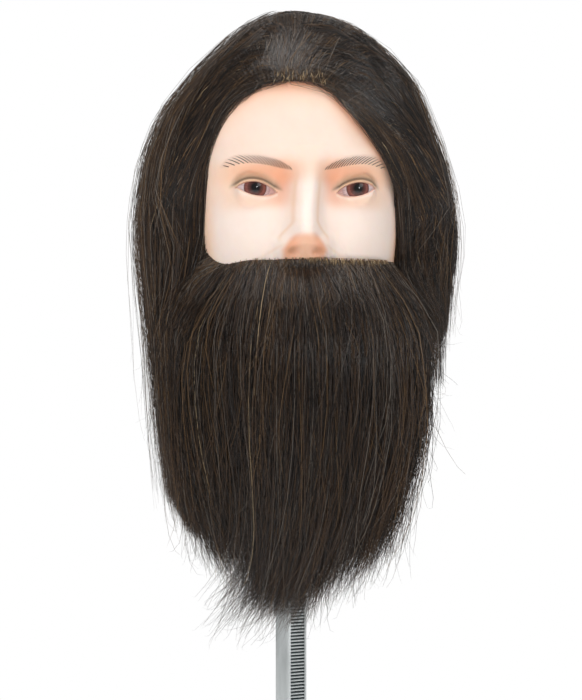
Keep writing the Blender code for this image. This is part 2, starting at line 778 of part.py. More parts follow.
def make_pin(name, length, z, pierced):
    """A roll pin across the bar, and its hole through the casting that it holds."""
    hole = lying(rod(PIN_RADIUS + GAP, -0.03, 0.03, steps=16), "X")
    combine(pierced, "DIFFERENCE", f"{name}_hole", hole, CLAMP, (0, BAR_Y, z))
    pin = lying(rod(PIN_RADIUS, -length / 2, length / 2, 0.0005, steps=16), "X")
    add(name, pin, ZINC, CLAMP, (0, BAR_Y, z))


def bar_passage(piece, name, low, high):
    """Cuts the rectangular hole that a jaw has for the bar."""
    hole = prism(
        rounded(BAR_WIDTH / 2 + GAP, BAR_DEPTH / 2 + GAP, BAR_ROUND), low - 0.01, high + 0.01
    )
    combine(piece, "DIFFERENCE", name, hole, CLAMP, (0, BAR_Y, 0))


def make_upper_jaw():
    """Fixed jaw: a hub pinned to the bar, and an arm that lies on the table top."""
    under = PAD_THICK
    back = BAR_Y - BAR_DEPTH / 2 - HUB_WALL
    hub_end = BAR_Y + BAR_DEPTH / 2 + HUB_WALL
    outline = [
        (back + 0.002, 0.0008),
        (hub_end, 0.0008),
        (hub_end + 0.0022, under),
        (JAW_TIP - 0.001, under),
        (JAW_TIP, under + 0.001),
        (JAW_TIP, under + 0.006),
        (JAW_TIP - 0.004, under + 0.0095),
        (-0.012, 0.0165),
        (hub_end + 0.004, JAW_HUB_TOP - 0.004),
        (hub_end, JAW_HUB_TOP),
        (back + 0.002, JAW_HUB_TOP),
        (back, JAW_HUB_TOP - 0.002),
        (back, 0.0028),
    ]
    jaw = add("upper_jaw", side_prism(outline, JAW_WIDTH / 2), CASTING, CLAMP)
    recess = [
        (hub_end + 0.006, under + 0.0042),
        (0.012, under + 0.0042),
        (0.008, under + 0.0068),
        (hub_end + 0.008, 0.0178),
        (hub_end + 0.006, 0.0170),
    ]
    for side in (-1, 1):
        pocket = side_prism(recess, 0.008)
        where = (side * (JAW_WIDTH / 2 + 0.003), 0, 0)
        combine(jaw, "DIFFERENCE", f"jaw_pocket_{side}", pocket, CLAMP, where)
    bar_passage(jaw, "jaw_passage", 0, JAW_HUB_TOP)
    bevelled(jaw, 0.0008)
    width = JAW_WIDTH + 0.001
    make_pin("jaw_pin_lower", width, 0.008, jaw)
    make_pin("jaw_pin_upper", width, 0.019, jaw)
    pad = prism(rounded(JAW_WIDTH / 2 - 0.001, PAD_SIDE / 2, 0.003), 0, PAD_THICK - GAP)
    add("seat_pad", pad, RUBBER, CLAMP)


def make_sliding_arm():
    """Lower jaw: a hub that slides on the bar, and a boss for the clamp screw."""
    back = BAR_Y - BAR_DEPTH / 2 - HUB_WALL - 0.002
    hub_end = BAR_Y + BAR_DEPTH / 2 + HUB_WALL
    outline = [
        (back, ARM_HUB_BOTTOM + 0.002),
        (back + 0.002, ARM_HUB_BOTTOM),
        (hub_end, ARM_HUB_BOTTOM),
        (hub_end + 0.004, ARM_BOSS_BOTTOM + 0.002),
        (-0.004, ARM_BOSS_BOTTOM + 0.006),
        (0.004, ARM_BOSS_BOTTOM + 0.006),
        (0.004, ARM_BOSS_TOP - 0.006),
        (-0.004, ARM_BOSS_TOP - 0.006),
        (hub_end + 0.004, ARM_BOSS_TOP),
        (hub_end, ARM_HUB_TOP),
        (back + 0.002, ARM_HUB_TOP),
        (back, ARM_HUB_TOP - 0.002),
    ]
    arm = add("sliding_arm", side_prism(outline, JAW_WIDTH / 2 - 0.001), CASTING, CLAMP)
    boss = rod(ARM_BOSS_RADIUS, ARM_BOSS_BOTTOM, ARM_BOSS_TOP, 0.001, steps=36)
    combine(arm, "UNION", "arm_boss", boss, CLAMP)
    recess = [
        (hub_end + 0.005, ARM_BOSS_BOTTOM + 0.0075),
        (-0.0155, ARM_BOSS_BOTTOM + 0.009),
        (-0.0155, ARM_BOSS_TOP - 0.009),
        (hub_end + 0.005, ARM_BOSS_TOP - 0.0055),
    ]
    for side in (-1, 1):
        pocket = side_prism(recess, 0.008)
        where = (side * (JAW_WIDTH / 2 + 0.002), 0, 0)
        combine(arm, "DIFFERENCE", f"arm_pocket_{side}", pocket, CLAMP, where)
    bar_passage(arm, "arm_passage", ARM_HUB_BOTTOM, ARM_HUB_TOP)
    seat = rod(BUSH_RADIUS + GAP, ARM_BOSS_BOTTOM - 0.01, ARM_BOSS_TOP + 0.01, steps=36)
    combine(arm, "DIFFERENCE", "bush_seat", seat, CLAMP)
    slot = prism(rounded(0.0042 + GAP, 0.0080, 0.0006), ARM_HUB_BOTTOM + 0.006, ARM_HUB_TOP - 0.010)
    combine(arm, "DIFFERENCE", "shoe_slot", slot, CLAMP, (0, BAR_Y - BAR_DEPTH / 2 - 0.0034, 0))
    bevelled(arm, 0.0008)
    make_brake_shoe(arm)
    bush = ring(SPINDLE_RADIUS + GAP, BUSH_RADIUS, ARM_BOSS_BOTTOM + 0.0005, ARM_BOSS_TOP - 0.0005, 36)
    add("thread_bush", bush, BRASS, CLAMP)


def make_brake_shoe(arm):
    """Hardened shoe in the sliding arm, which bites the bar's teeth when the arm tips."""
    low = ARM_HUB_BOTTOM + 0.006 + GAP
    high = ARM_HUB_TOP - 0.010 - GAP
    face = BAR_Y - BAR_DEPTH / 2 - 0.0004
    count = 4
    step = (high - low) / count
    outline = [(face - 0.0100, low), (face - 0.0100, high)]
    for i in reversed(range(count)):
        outline.append((face, low + (i + 0.85) * step))
        outline.append((face - 0.0010, low + (i + 0.15) * step))
    shoe = add("brake_shoe", side_prism(outline, 0.0042), ZINC, CLAMP)
    middle = (low + high) / 2
    at = (0, face - 0.0062, middle)
    hole = lying(rod(0.0015 + GAP, -0.03, 0.03, steps=14), "X")
    combine(shoe, "DIFFERENCE", "shoe_hole", hole, CLAMP, at)
    again = lying(rod(0.0015 + GAP, -0.03, 0.03, steps=14), "X")
    combine(arm, "DIFFERENCE", "shoe_pin_hole", again, CLAMP, at)
    half = JAW_WIDTH / 2 - 0.0012
    pin = lying(rod(0.0015, -half, half, 0.0003, steps=14), "X")
    add("shoe_pin", pin, ZINC, CLAMP, at)


def make_end_cap():
    """Plastic cap on the bar's lower end, which also stops the sliding arm."""
    low, high = BAR_BOTTOM - 0.0025, BAR_BOTTOM + 0.014
    half_x, half_y = BAR_WIDTH / 2 + 0.0028, BAR_DEPTH / 2 + 0.0028
    body = prism(rounded(half_x, half_y, 0.003), low, high)
    cap = add("bar_end_cap", body, NYLON, CLAMP, (0, BAR_Y, 0))
    inside = prism(
        rounded(BAR_WIDTH / 2 + GAP, BAR_DEPTH / 2 + GAP, BAR_ROUND), BAR_BOTTOM - GAP, high + 0.01
    )
    combine(cap, "DIFFERENCE", "cap_inside", inside, CLAMP, (0, BAR_Y, 0))
    hole = turned(
        [
            (0, low - 0.01),
            (0.0052, low - 0.01),
            (0.0052, low + 0.0002),
            (0.0028, low + 0.0019),
            (0.0028, high),
            (0, high),
        ],
        20,
    )
    combine(cap, "DIFFERENCE", "cap_hole", hole, CLAMP, (0, BAR_Y, 0))
    bevelled(cap, 0.0006)
    screw = turned(
        [
            (0, low),
            (0.0046, low),
            (0.0025, low + 0.0020),
            (0.0025, BAR_BOTTOM + 0.013),
            (0, BAR_BOTTOM + 0.0145),
        ],
        20,
    )
    made = add("end_cap_screw", screw, ZINC, CLAMP, (0, BAR_Y, 0))
    key = rod(0.0018, low - 0.01, low + 0.0014, steps=6)
    combine(made, "DIFFERENCE", "end_cap_key", key, CLAMP, (0, BAR_Y, 0))


# ---------------------------------------------------------------- the clamp screw
def make_clamp_screw():
    """Spindle with a ball tip, its swivel foot and the sliding tommy bar."""
    foot_top = FOOT_PAD_TOP - FOOT_PAD_THICK - GAP
    foot_low = foot_top - FOOT_THICK
    ball = foot_low + 0.0042  # the ball tip's centre
    ball_radius = 0.0043
    neck = 0.0030
    head_top = SPINDLE_END + SPINDLE_HEAD_HEIGHT
    profile = [(0, SPINDLE_END), (SPINDLE_HEAD_RADIUS - 0.001, SPINDLE_END)]
    profile.append((SPINDLE_HEAD_RADIUS, SPINDLE_END + 0.001))
    profile.append((SPINDLE_HEAD_RADIUS, head_top - 0.001))
    profile.append((SPINDLE_HEAD_RADIUS - 0.001, head_top))
    profile.append((SPINDLE_RADIUS, head_top))
    profile.append((SPINDLE_RADIUS, foot_low - 0.0065))
    profile.append((neck, foot_low - 0.0040))
    start = -np.arccos(neck / ball_radius)
    for turn in np.linspace(start, pi / 2, 9):
        profile.append((max(ball_radius * cos(turn), 0.0), ball + ball_radius * sin(turn)))
    profile[-1] = (0, ball + ball_radius)
    spindle = add("clamp_spindle", turned(profile, 28), ZINC, CLAMP)
    hole = lying(rod(TOMMY_RADIUS + GAP, -0.02, 0.02, steps=18), "X")
    middle = SPINDLE_END + SPINDLE_HEAD_HEIGHT / 2
    combine(spindle, "DIFFERENCE", "tommy_hole", hole, CLAMP, (0, 0, middle))

    half = TOMMY_LENGTH / 2
    bar = lying(rod(TOMMY_RADIUS, -half, half, 0.0004, steps=18), "X")
    add("tommy_bar", bar, ZINC, CLAMP, (0, 0, middle))
    for name, side in (("tommy_cap_left", 1), ("tommy_cap_right", -1)):
        cap = turned(
            [
                (TOMMY_RADIUS + GAP, 0),
                (0.0050, 0),
                (0.0056, 0.0012),
                (0.0056, 0.0068),
                (0.0042, 0.0088),
                (0, 0.0094),
                (0, 0.0078),
                (TOMMY_RADIUS + GAP, 0.0078),
            ],
            24,
        )
        cap = lying(cap, "X")
        if side < 0:
            bmesh.ops.transform(cap, matrix=Matrix.Rotation(pi, 4, "Z"), verts=cap.verts)
        add(name, cap, RUBBER, CLAMP, (side * (half - 0.0072), 0, middle))

    socket = ball_radius + 0.0006
    deep = ball + ball_radius + 0.0006
    foot = add(
        "swivel_foot",
        turned(
            [
                (socket + 0.0004, foot_low),
                (0.0110, foot_low),
                (FOOT_RADIUS, foot_low + 0.0050),
                (FOOT_RADIUS, foot_top - 0.0008),
                (FOOT_RADIUS - 0.0008, foot_top),
                (0, foot_top),
                (0, deep),
                (socket, deep),
            ],
            36,
        ),
        ZINC,
        CLAMP,
    )
    groove = ring(socket - 0.002, socket + 0.0016, foot_low + 0.0004, foot_low + 0.0021)
    combine(foot, "DIFFERENCE", "clip_groove", groove, CLAMP)
    clip = ring(neck + 0.0006, socket + 0.0010, foot_low + 0.0008, foot_low + 0.0016, 28)
    clip_made = add("foot_clip", clip, ZINC, CLAMP)
    clear = bmesh.new()
    bmesh.ops.create_uvsphere(clear, u_segments=24, v_segments=16, radius=ball_radius + GAP)
    combine(clip_made, "DIFFERENCE", "clip_ball_room", clear, CLAMP, (0, 0, ball))
    pad = turned(
        [
            (0, foot_top + GAP),
            (FOOT_RADIUS - 0.001, foot_top + GAP),
            (FOOT_RADIUS - 0.0004, foot_top + 0.0010),
            (FOOT_RADIUS - 0.0008, FOOT_PAD_TOP),
            (0, FOOT_PAD_TOP),
        ],
        36,
    )
    add("foot_pad", pad, RUBBER, CLAMP)


head_shell = make_head_shell()
make_eye("eye_right", -1)
make_eye("eye_left", 1)
make_neck_plate(head_shell)
make_neck_screws()
make_crown()
make_side_hank("hair_right", -1)
make_side_hank("hair_left", 1)
make_back_hank()
make_beard()
make_bar()
peg_holder = make_holder()
make_pin("holder_pin", BAR_WIDTH + 0.0118, 0.139, peg_holder)
bevelled(peg_holder, 0.0008)
make_peg()
make_upper_jaw()
make_sliding_arm()
make_end_cap()
make_clamp_screw()
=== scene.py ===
"""The mannequin training head and its table clamp, dressed for close looks.

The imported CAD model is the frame. The head's face, eyes, hair and beard are new pieces that
stand for its coarse solids, and the clamp keeps its CAD nodes, with better materials. Metres.
"""

from math import cos, pi, radians, sin

import bmesh
import bpy
import numpy as np
from mathutils import Matrix, Vector


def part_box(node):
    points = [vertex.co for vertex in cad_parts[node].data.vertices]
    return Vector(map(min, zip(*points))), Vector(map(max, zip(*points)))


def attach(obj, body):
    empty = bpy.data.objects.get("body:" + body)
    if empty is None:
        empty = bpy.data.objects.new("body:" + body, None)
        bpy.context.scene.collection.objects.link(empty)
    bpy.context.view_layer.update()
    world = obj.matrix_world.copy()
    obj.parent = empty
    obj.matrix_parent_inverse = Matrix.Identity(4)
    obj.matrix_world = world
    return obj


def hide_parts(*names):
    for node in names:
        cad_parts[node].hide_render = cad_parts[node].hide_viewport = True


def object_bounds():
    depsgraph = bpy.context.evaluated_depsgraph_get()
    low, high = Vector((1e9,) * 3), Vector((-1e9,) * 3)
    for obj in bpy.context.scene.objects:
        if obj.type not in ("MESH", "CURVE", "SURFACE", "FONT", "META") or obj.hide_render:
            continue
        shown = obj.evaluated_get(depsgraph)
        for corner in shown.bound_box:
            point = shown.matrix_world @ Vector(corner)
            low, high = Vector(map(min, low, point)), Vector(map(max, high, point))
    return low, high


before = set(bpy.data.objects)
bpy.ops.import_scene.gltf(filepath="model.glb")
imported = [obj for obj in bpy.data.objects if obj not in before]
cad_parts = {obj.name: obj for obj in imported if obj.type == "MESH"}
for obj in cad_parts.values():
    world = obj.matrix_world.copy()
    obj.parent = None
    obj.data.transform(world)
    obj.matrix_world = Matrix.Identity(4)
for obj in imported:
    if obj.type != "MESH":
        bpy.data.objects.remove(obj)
cad_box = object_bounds()
rng = np.random.default_rng(20)

# ---- places from the frame


def middle(node):
    low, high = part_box(node)
    return (Vector(low) + Vector(high)) / 2


AXIS = middle("neck_plate")  # the peg's axis, in X and Y
EYE_LEFT, EYE_RIGHT = middle("eye_left"), middle("eye_right")
EYE_Z = EYE_LEFT.z
EYE_APART = EYE_LEFT.x - AXIS.x
EYE_RADIUS = (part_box("eye_left")[1][2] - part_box("eye_left")[0][2]) / 2
EYE_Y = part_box("eye_left")[0][1] + EYE_RADIUS - AXIS.y  # the eye ball's centre
ORIGIN = Vector((AXIS.x, AXIS.y, EYE_Z))  # the head's own origin, at eye level
NECK_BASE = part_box("neck_plate")[0][2] - EYE_Z
PLATE_TOP = NECK_BASE + 0.006
PLATE_RADIUS = (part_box("neck_plate")[1][0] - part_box("neck_plate")[0][0]) / 2
SOCKET_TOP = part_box("neck_plate")[1][2] - EYE_Z
# Rings of the open neck round the plate, from its middle outwards: radius and height
NECK_RINGS = (
    (0.019, SOCKET_TOP + 0.002), (0.022, PLATE_TOP + 0.0008), (PLATE_RADIUS + 0.0003, PLATE_TOP + 0.0005),
    (PLATE_RADIUS + 0.0003, NECK_BASE),
)

# Bare head below the dome: height, half width, depth to the front, depth to the back
HEAD_MIDDLE, HEAD_RISE, HEAD_POWER = 0.040, 0.060, 2.15
HEAD_SECTIONS = (
    (-0.175, 0.0520, 0.0520, 0.0520),
    (-0.160, 0.0500, 0.0500, 0.0505),
    (-0.135, 0.0480, 0.0500, 0.0500),
    (-0.116, 0.0500, 0.0660, 0.0500),
    (-0.098, 0.0540, 0.0850, 0.0510),
    (-0.080, 0.0585, 0.0885, 0.0530),
    (-0.050, 0.0635, 0.0895, 0.0630),
    (-0.020, 0.0680, 0.0895, 0.0760),
    (0.010, 0.0715, 0.0905, 0.0850),
    (0.040, 0.0735, 0.0900, 0.0880),
)
# Outside of the combed hair and beard, the same way
HAIR_MIDDLE, HAIR_RISE, HAIR_POWER = -0.034, 0.146, 2.0
HAIR_SECTIONS = (
    (-0.265, 0.0720, 0.0880, 0.0780),
    (-0.225, 0.0780, 0.0980, 0.0820),
    (-0.192, 0.0830, 0.1060, 0.0860),
    (-0.160, 0.0880, 0.1130, 0.0900),
    (-0.130, 0.0910, 0.1190, 0.0950),
    (-0.097, 0.0950, 0.1220, 0.1000),
    (-0.065, 0.0985, 0.1200, 0.1050),
    (-0.034, 0.1010, 0.1200, 0.1080),
)

FACE_RIGHT, FACE_LEFT = radians(-51), radians(53)  # where the side hair meets the bare face
# Where the hair begins round the head: degrees from the face, and height
HAIRLINE = (
    (-56, -0.0340), (-50, -0.0050), (-46, 0.0170), (-42, 0.0280), (-35, 0.0450), (-27, 0.0540), (-20, 0.0595),
    (-16, 0.0620), (6, 0.0620), (12, 0.0500), (20, 0.0380), (30, 0.0215), (39, 0.0055), (49, -0.0110),
    (55, -0.0340),
)

# How the combed hair is drawn in or let out sideways: height, and share of its plain width
SLIM_RIGHT = (
    (-0.210, 0.875), (-0.150, 0.888), (-0.090, 0.882), (-0.030, 0.908), (0.010, 0.924), (0.050, 0.922),
    (0.075, 0.855), (0.098, 0.750), (0.115, 0.620),
)
SLIM_LEFT = (
    (-0.200, 1.045), (-0.140, 1.040), (-0.100, 0.972), (-0.060, 0.970), (-0.020, 1.000), (0.045, 1.000),
    (0.072, 1.065),
)

# Camera
CAMERA_AZIMUTH = radians(-6.5)
CAMERA_AWAY = 1.39  # from the peg's axis
CAMERA_DROP = 0.0955  # below eye level
LENS = 137.5
LENS_SENSOR = 36.0
# Lights: name, place about the head's origin, size, power, and the kind of light they give none of
LIGHTS = (
    ("key", (-0.60, -1.25, 0.95), 0.9, 5.3, "glossy"),
    ("fill", (0.95, -1.15, 0.75), 0.9, 5.0, None),
    ("top", (0.0, -0.12, 1.60), 1.3, 16, None),
    ("low", (-0.80, -1.40, -0.35), 0.9, 6.0, "glossy"),
    ("catch", (0.46, -1.29, 0.20), 0.12, 5.0, "diffuse"),
)


# ---- shapes of head and hair
def through(sections, column, z):
    """A smooth curve through one column of a table of sections, level at its top end."""
    height = np.array([row[0] for row in sections])
    value = np.array([row[column] for row in sections])
    slope = np.gradient(value, height)
    slope[-1] = 0.0
    z = np.clip(z, height[0], height[-1])
    i = np.clip(np.searchsorted(height, z) - 1, 0, len(height) - 2)
    step = height[i + 1] - height[i]
    t = (z - height[i]) / step
    rise = t * t * (3 - 2 * t)
    from_left = t * (1 - t) ** 2 * step * slope[i]
    from_right = t * t * (t - 1) * step * slope[i + 1]
    return value[i] * (1 - rise) + value[i + 1] * rise + from_left + from_right


def oval(sections, power, turn, z):
    """How far an oval shape stands from its axis at height z. turn is 0 at the face."""
    side = through(sections, 1, z)
    depth = np.where(np.cos(turn) > 0, through(sections, 2, z), through(sections, 3, z))
    return (np.abs(np.sin(turn) / side) ** power + np.abs(np.cos(turn) / depth) ** power) ** (-1 / power)


def domed(sections, foot, rise, power, turn, z):
    """The same with a dome that rises from its foot."""
    up = np.clip((z - foot) / rise, 0, 0.9995)
    return oval(sections, power, turn, z) * (1 - up**power) ** (1 / power)


def head_reach(turn, z):
    """How far the bare head stands from its axis at height z, features left out."""
    return domed(HEAD_SECTIONS, HEAD_MIDDLE, HEAD_RISE, HEAD_POWER, turn, z)


def hair_reach(turn, z):
    """How far the combed hair stands from its axis at height z."""
    return domed(HAIR_SECTIONS, HAIR_MIDDLE, HAIR_RISE, HAIR_POWER, turn, z)


def some(size, power=1.0):
    """Random shares from 0 to 1, more of them small the higher the power."""
    return rng.uniform(0, 1, size) ** power


def stacked(*columns):
    return np.stack(np.broadcast_arrays(*columns), axis=-1)


def read_table(table, value):
    return np.interp(value, *np.array(table).T)


def from_table(table, turn):
    return read_table(table, np.degrees(turn))


def wrapped(turn):
    return (turn + pi) % (2 * pi) - pi


def hairline(turn):
    """Height where the hair begins, its table's corners rounded off."""
    shifts = np.radians(np.linspace(-3, 3, 7))
    return sum(from_table(HAIRLINE, turn + shift) for shift in shifts) / len(shifts)


def past_face(turn):
    """The angle from the bare face's edge out into the side hair."""
    return np.where(turn < 0, FACE_RIGHT - turn, turn - FACE_LEFT)


def slimmed(x, z):
    """Sideways places drawn in to the outline of the hair that is combed flat."""
    right, left = read_table(SLIM_RIGHT, z), read_table(SLIM_LEFT, z)
    return x * (left + (right - left) * ramp(x, 0.03, -0.03))


def hump(x, z, at_x, at_z, wide, tall, power=2.0):
    """A smooth hump of height 1 in the plane of the face."""
    return np.exp(-((np.abs(x - at_x) / wide) ** power) - (np.abs(z - at_z) / tall) ** power)


def ramp(value, start, end):
    """0 at start, 1 at end, smooth between them. start may be above end."""
    t = np.clip((value - start) / (end - start), 0, 1)
    return t * t * (3 - 2 * t)


def band(value, middle, half):
    """A smooth band of height 1."""
    return np.exp(-(((value - middle) / half) ** 2))


# ---- the face
# Eye opening about the eye's centre, outward positive: corners, and the lids' arcs
INNER_CORNER = (-0.0122, -0.0030)
OUTER_CORNER = (0.0105, 0.0002)
UPPER_ARC, LOWER_ARC = 0.0045, 0.0033
LID_THICK = 0.0014
NOSE_LEAN = 0.0030
# How far the nose stands out, and its half width, at heights
NOSE_RIDGE = (
    (-0.047, 0.0), (-0.0435, 0.0055), (-0.040, 0.0095), (-0.034, 0.0165), (-0.028, 0.0215), (-0.024, 0.0215),
    (-0.015, 0.0165), (-0.004, 0.0100), (0.008, 0.0050), (0.024, 0.0),
)
NOSE_HALF = ((-0.038, 0.0125), (-0.028, 0.0092), (-0.012, 0.0080), (0.004, 0.0076), (0.02, 0.0100))
SKULL_SUNK = 0.0050  # how far the skull behind lies under the combed hair


def lid_lines(out):
    """Heights of the upper and lower lid edges at a place across the eye."""
    width = OUTER_CORNER[0] - INNER_CORNER[0]
    t = np.clip((out - INNER_CORNER[0]) / width, 0, 1)
    line = INNER_CORNER[1] + t * (OUTER_CORNER[1] - INNER_CORNER[1])
    bow = np.clip(4 * t * (1 - t), 0, 1)
    upper = line + UPPER_ARC * bow**0.75
    lower = line - LOWER_ARC * bow**0.85
    return upper, lower


def within_eye(out, beyond=0.0):
    return (out > INNER_CORNER[0] - beyond) & (out < OUTER_CORNER[0] + beyond)


def crease_line(out):
    """Height of the fold above the upper lid."""
    upper, _ = lid_lines(np.clip(out, -0.011, 0.0095))
    beyond = np.maximum(np.abs(out + 0.001) - 0.0105, 0)
    return upper + 0.0022 - 0.55 * beyond


def from_nose(x, z):
    """Distance from the nose's middle line, which leans a little to the head's right."""
    return np.abs(x + NOSE_LEAN * ramp(z, 0.012, -0.022))


def face_relief(x, z):
    """How far the features stand out from the oval head, towards the front."""
    side = np.abs(x)
    aside = from_nose(x, z)
    ridge, half = read_table(NOSE_RIDGE, z), read_table(NOSE_HALF, z)
    relief = ridge * np.exp(-((aside / half) ** 2.8))
    for across, rise, *shape in (
        (aside, 0.0055, 0.0118, -0.0355, 0.0050, 0.0062, 2.4),  # wings of the nose
        (aside, -0.0035, 0.0072, -0.0385, 0.0032, 0.0022),  # nostrils
        (side, 0.0032, 0.030, 0.0195, 0.022, 0.0085),  # brow
        (side, 0.0016, 0, 0.018, 0.010, 0.012),  # between the brows
        (side, -0.0062, EYE_APART - 0.001, 0.001, 0.0165, 0.0120),  # eye sockets
        (side, -0.0030, 0.0145, 0.003, 0.006, 0.010),  # inner corners of the eyes
        (side, 0.0035, 0.040, -0.027, 0.020, 0.018),  # cheeks
        (side - 0.6 * (-0.034 - z), -0.0010, 0.0185, -0.038, 0.0030, 0.010),  # folds beside the nose
        (side, 0.004, 0, -0.062, 0.022, 0.010),  # lips
        (side, 0.003, 0, -0.094, 0.018, 0.012),  # chin
    ):
        relief = relief + rise * hump(across, z, *shape)
    return relief


def with_lids(x, y, z):
    """Wraps the skin over the eye balls as lids, and opens it between them."""
    out = np.abs(x) - EYE_APART
    away2 = out**2 + z**2
    ball = EYE_RADIUS + LID_THICK
    sphere = EYE_Y - np.sqrt(np.maximum(ball**2 - away2, 0))
    ahead = (y - sphere) * ramp(np.sqrt(away2), ball * 0.99, ball * 0.70)
    round_off = 0.0012 * ramp(np.sqrt(away2), ball * 1.05, ball * 0.85)
    over = y - (ahead + np.sqrt(ahead**2 + round_off**2)) / 2
    over = over + 0.0010 * band(z, crease_line(out), 0.0008) * ramp(np.abs(out), 0.0125, 0.0095)
    upper, lower = lid_lines(out)
    cut = ramp(np.minimum(upper - z, z - lower), -0.0004, 0.0007) * within_eye(out)
    back = EYE_Y - np.sqrt(np.maximum((EYE_RADIUS - 0.0022) ** 2 - away2, 0))
    back = np.minimum(back, over + 0.0032)
    return over + (np.maximum(back, over) - over) * cut


def ear_bulge(turn, z):
    return 0.012 * hump(np.abs(turn), z, radians(97), -0.012, radians(10), 0.020)


def head_points(turn, z):
    """Points of the bare head as an array, for arrays of turn and height."""
    sunk = SKULL_SUNK * ramp(z, 0.000, 0.040) * ramp(np.cos(turn), 0.3, -0.2)
    reach = head_reach(turn, z) + ear_bulge(turn, z) - sunk
    x, y = reach * np.sin(turn), -reach * np.cos(turn)
    covered = ramp(z, 0.045, 0.070) * ramp(z - hairline(turn), 0.0, 0.012)
    x = x + np.where(x < 0, slimmed(x, z) - x, 0.0) * covered
    front = ramp(np.cos(turn), 0.0, 0.25)
    y = y - face_relief(x, z) * front
    y = np.where(front > 0, with_lids(x, y, z), y)
    return stacked(x, y, z)


def ring_faces(rings, around):
    """Faces between neighbouring closed rings of points, counted ring by ring."""
    return [
        (start + j, start + (j + 1) % around, start + around + (j + 1) % around, start + around + j)
        for start in range(0, (rings - 1) * around, around)
        for j in range(around)
    ]


def turned_shape(points, low_tip, high_tip):
    """Vertices and faces of a closed shape from rings of points and a tip at either end."""
    rings, around, _ = points.shape
    faces = ring_faces(rings, around)
    last = (rings - 1) * around
    for j in range(around):
        k = (j + 1) % around
        faces.append((k, j, rings * around))
        faces.append((last + j, last + k, rings * around + 1))
    return np.concatenate((points.reshape(-1, 3), (low_tip, high_tip))), faces


def placed(name, data):
    made = bpy.data.objects.new(name, data)
    bpy.context.scene.collection.objects.link(made)
    return made


def add_mesh(name, points, faces, material, sharp=None):
    mesh = bpy.data.meshes.new(name)
    mesh.from_pydata([tuple(p) for p in points], [], faces)
    mesh.update()
    mesh.materials.append(material)
    mesh.shade_smooth()
    if sharp is not None:
        mesh.set_sharp_from_angle(angle=sharp)
    return placed(name, mesh)


def add_bmesh(name, bm):
    mesh = bpy.data.meshes.new(name)
    bm.to_mesh(mesh)
    bm.free()
    return placed(name, mesh)


def in_head(piece, slot, *nodes, place=ORIGIN):
    """Puts a piece in its place on the head and hides the nodes it stands for. slot, its finish, is not used.
    """
    piece.location = place
    bpy.context.view_layer.update()
    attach(piece, "head")
    if nodes:
        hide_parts(*nodes)


# ---- materials
WHITE, BLACK = (1.0,) * 3, (0.0,) * 3


def new_material(name, **values):
    made = bpy.data.materials.new(name)
    made.use_nodes = True
    tree = made.node_tree
    shader = tree.nodes["Principled BSDF"]
    fill(shader, **values)
    return made, tree, shader


def give(socket, value):
    """Links an input to another node's socket, or sets its value."""
    if isinstance(value, bpy.types.NodeSocket):
        socket.id_data.links.new(value, socket)
    else:
        socket.default_value = value


def fill(shader, **values):
    """Gives inputs by name, with _ for each space."""
    for key, value in values.items():
        give(shader.inputs[key.replace("_", " ")], value)


def node(tree, kind, *values, **named):
    """A shader node. values go to its inputs in order, named ones to the input or setting of
    that name."""
    made = tree.nodes.new(kind)
    for socket, value in zip(made.inputs, values):
        give(socket, value)
    for key, value in named.items():
        if key in made.inputs:
            give(made.inputs[key], value)
        else:
            setattr(made, key, value)
    return made


def calculate(tree, operation, *values):
    return node(tree, "ShaderNodeMath", *values, operation=operation).outputs[0]


def dot(tree, first, second):
    return node(tree, "ShaderNodeVectorMath", first, second, operation="DOT_PRODUCT").outputs["Value"]


def own_place(tree):
    """The shaded point in the piece's own coordinates."""
    return tree.nodes.new("ShaderNodeTexCoord").outputs["Object"]


def blend_colours(tree, factor, first, second, mode="MIX"):
    """A colour mix whose factor and colours may be sockets or plain values."""
    made = node(tree, "ShaderNodeMix", data_type="RGBA", blend_type=mode)
    for index, value in ((0, factor), (6, first), (7, second)):
        give(made.inputs[index], (*value, 1.0) if isinstance(value, tuple) else value)
    return made.outputs[2]


def ramp_node(tree, factor, *stops):
    made = node(tree, "ShaderNodeValToRGB", factor)
    elements = made.color_ramp.elements
    while len(elements) < len(stops):
        elements.new(0.5)
    for element, (place, colour) in zip(elements, stops):
        element.position = place
        element.color = (*colour, 1.0)
    return made.outputs[0]


def noise(tree, scale, detail=3.0, rough=0.5, stretch=None):
    """Noise in the piece's own coordinates, stretched per axis if asked."""
    place = own_place(tree)
    if stretch:
        place = node(tree, "ShaderNodeMapping", Vector=place, Scale=stretch).outputs["Vector"]
    made = node(tree, "ShaderNodeTexNoise", Vector=place, Scale=scale, Detail=detail, Roughness=rough)
    return made.outputs["Fac"]


def bump(tree, shader, height, strength, distance):
    made = node(tree, "ShaderNodeBump", Strength=strength, Distance=distance, Height=height)
    fill(shader, Normal=made.outputs["Normal"])


def surface(name, dark, light, rough, metallic=0.0, scale=60.0, stretch=None, grain=0.2, depth=0.0002,
            fine=900.0, specular=0.5):
    """A material with a mottled colour and roughness and a fine grain."""
    made, tree, shader = new_material(name)
    patches = noise(tree, scale, 4.0, 0.6, stretch)
    low, high = rough
    fill(
        shader,
        Base_Color=ramp_node(tree, patches, (0.3, dark), (0.7, light)),
        Roughness=ramp_node(tree, patches, (0.25, (low,) * 3), (0.75, (high,) * 3)),
        Metallic=metallic,
        Specular_IOR_Level=specular,
    )
    bump(tree, shader, noise(tree, fine, 3.0, 0.6, stretch), grain, depth)
    return made


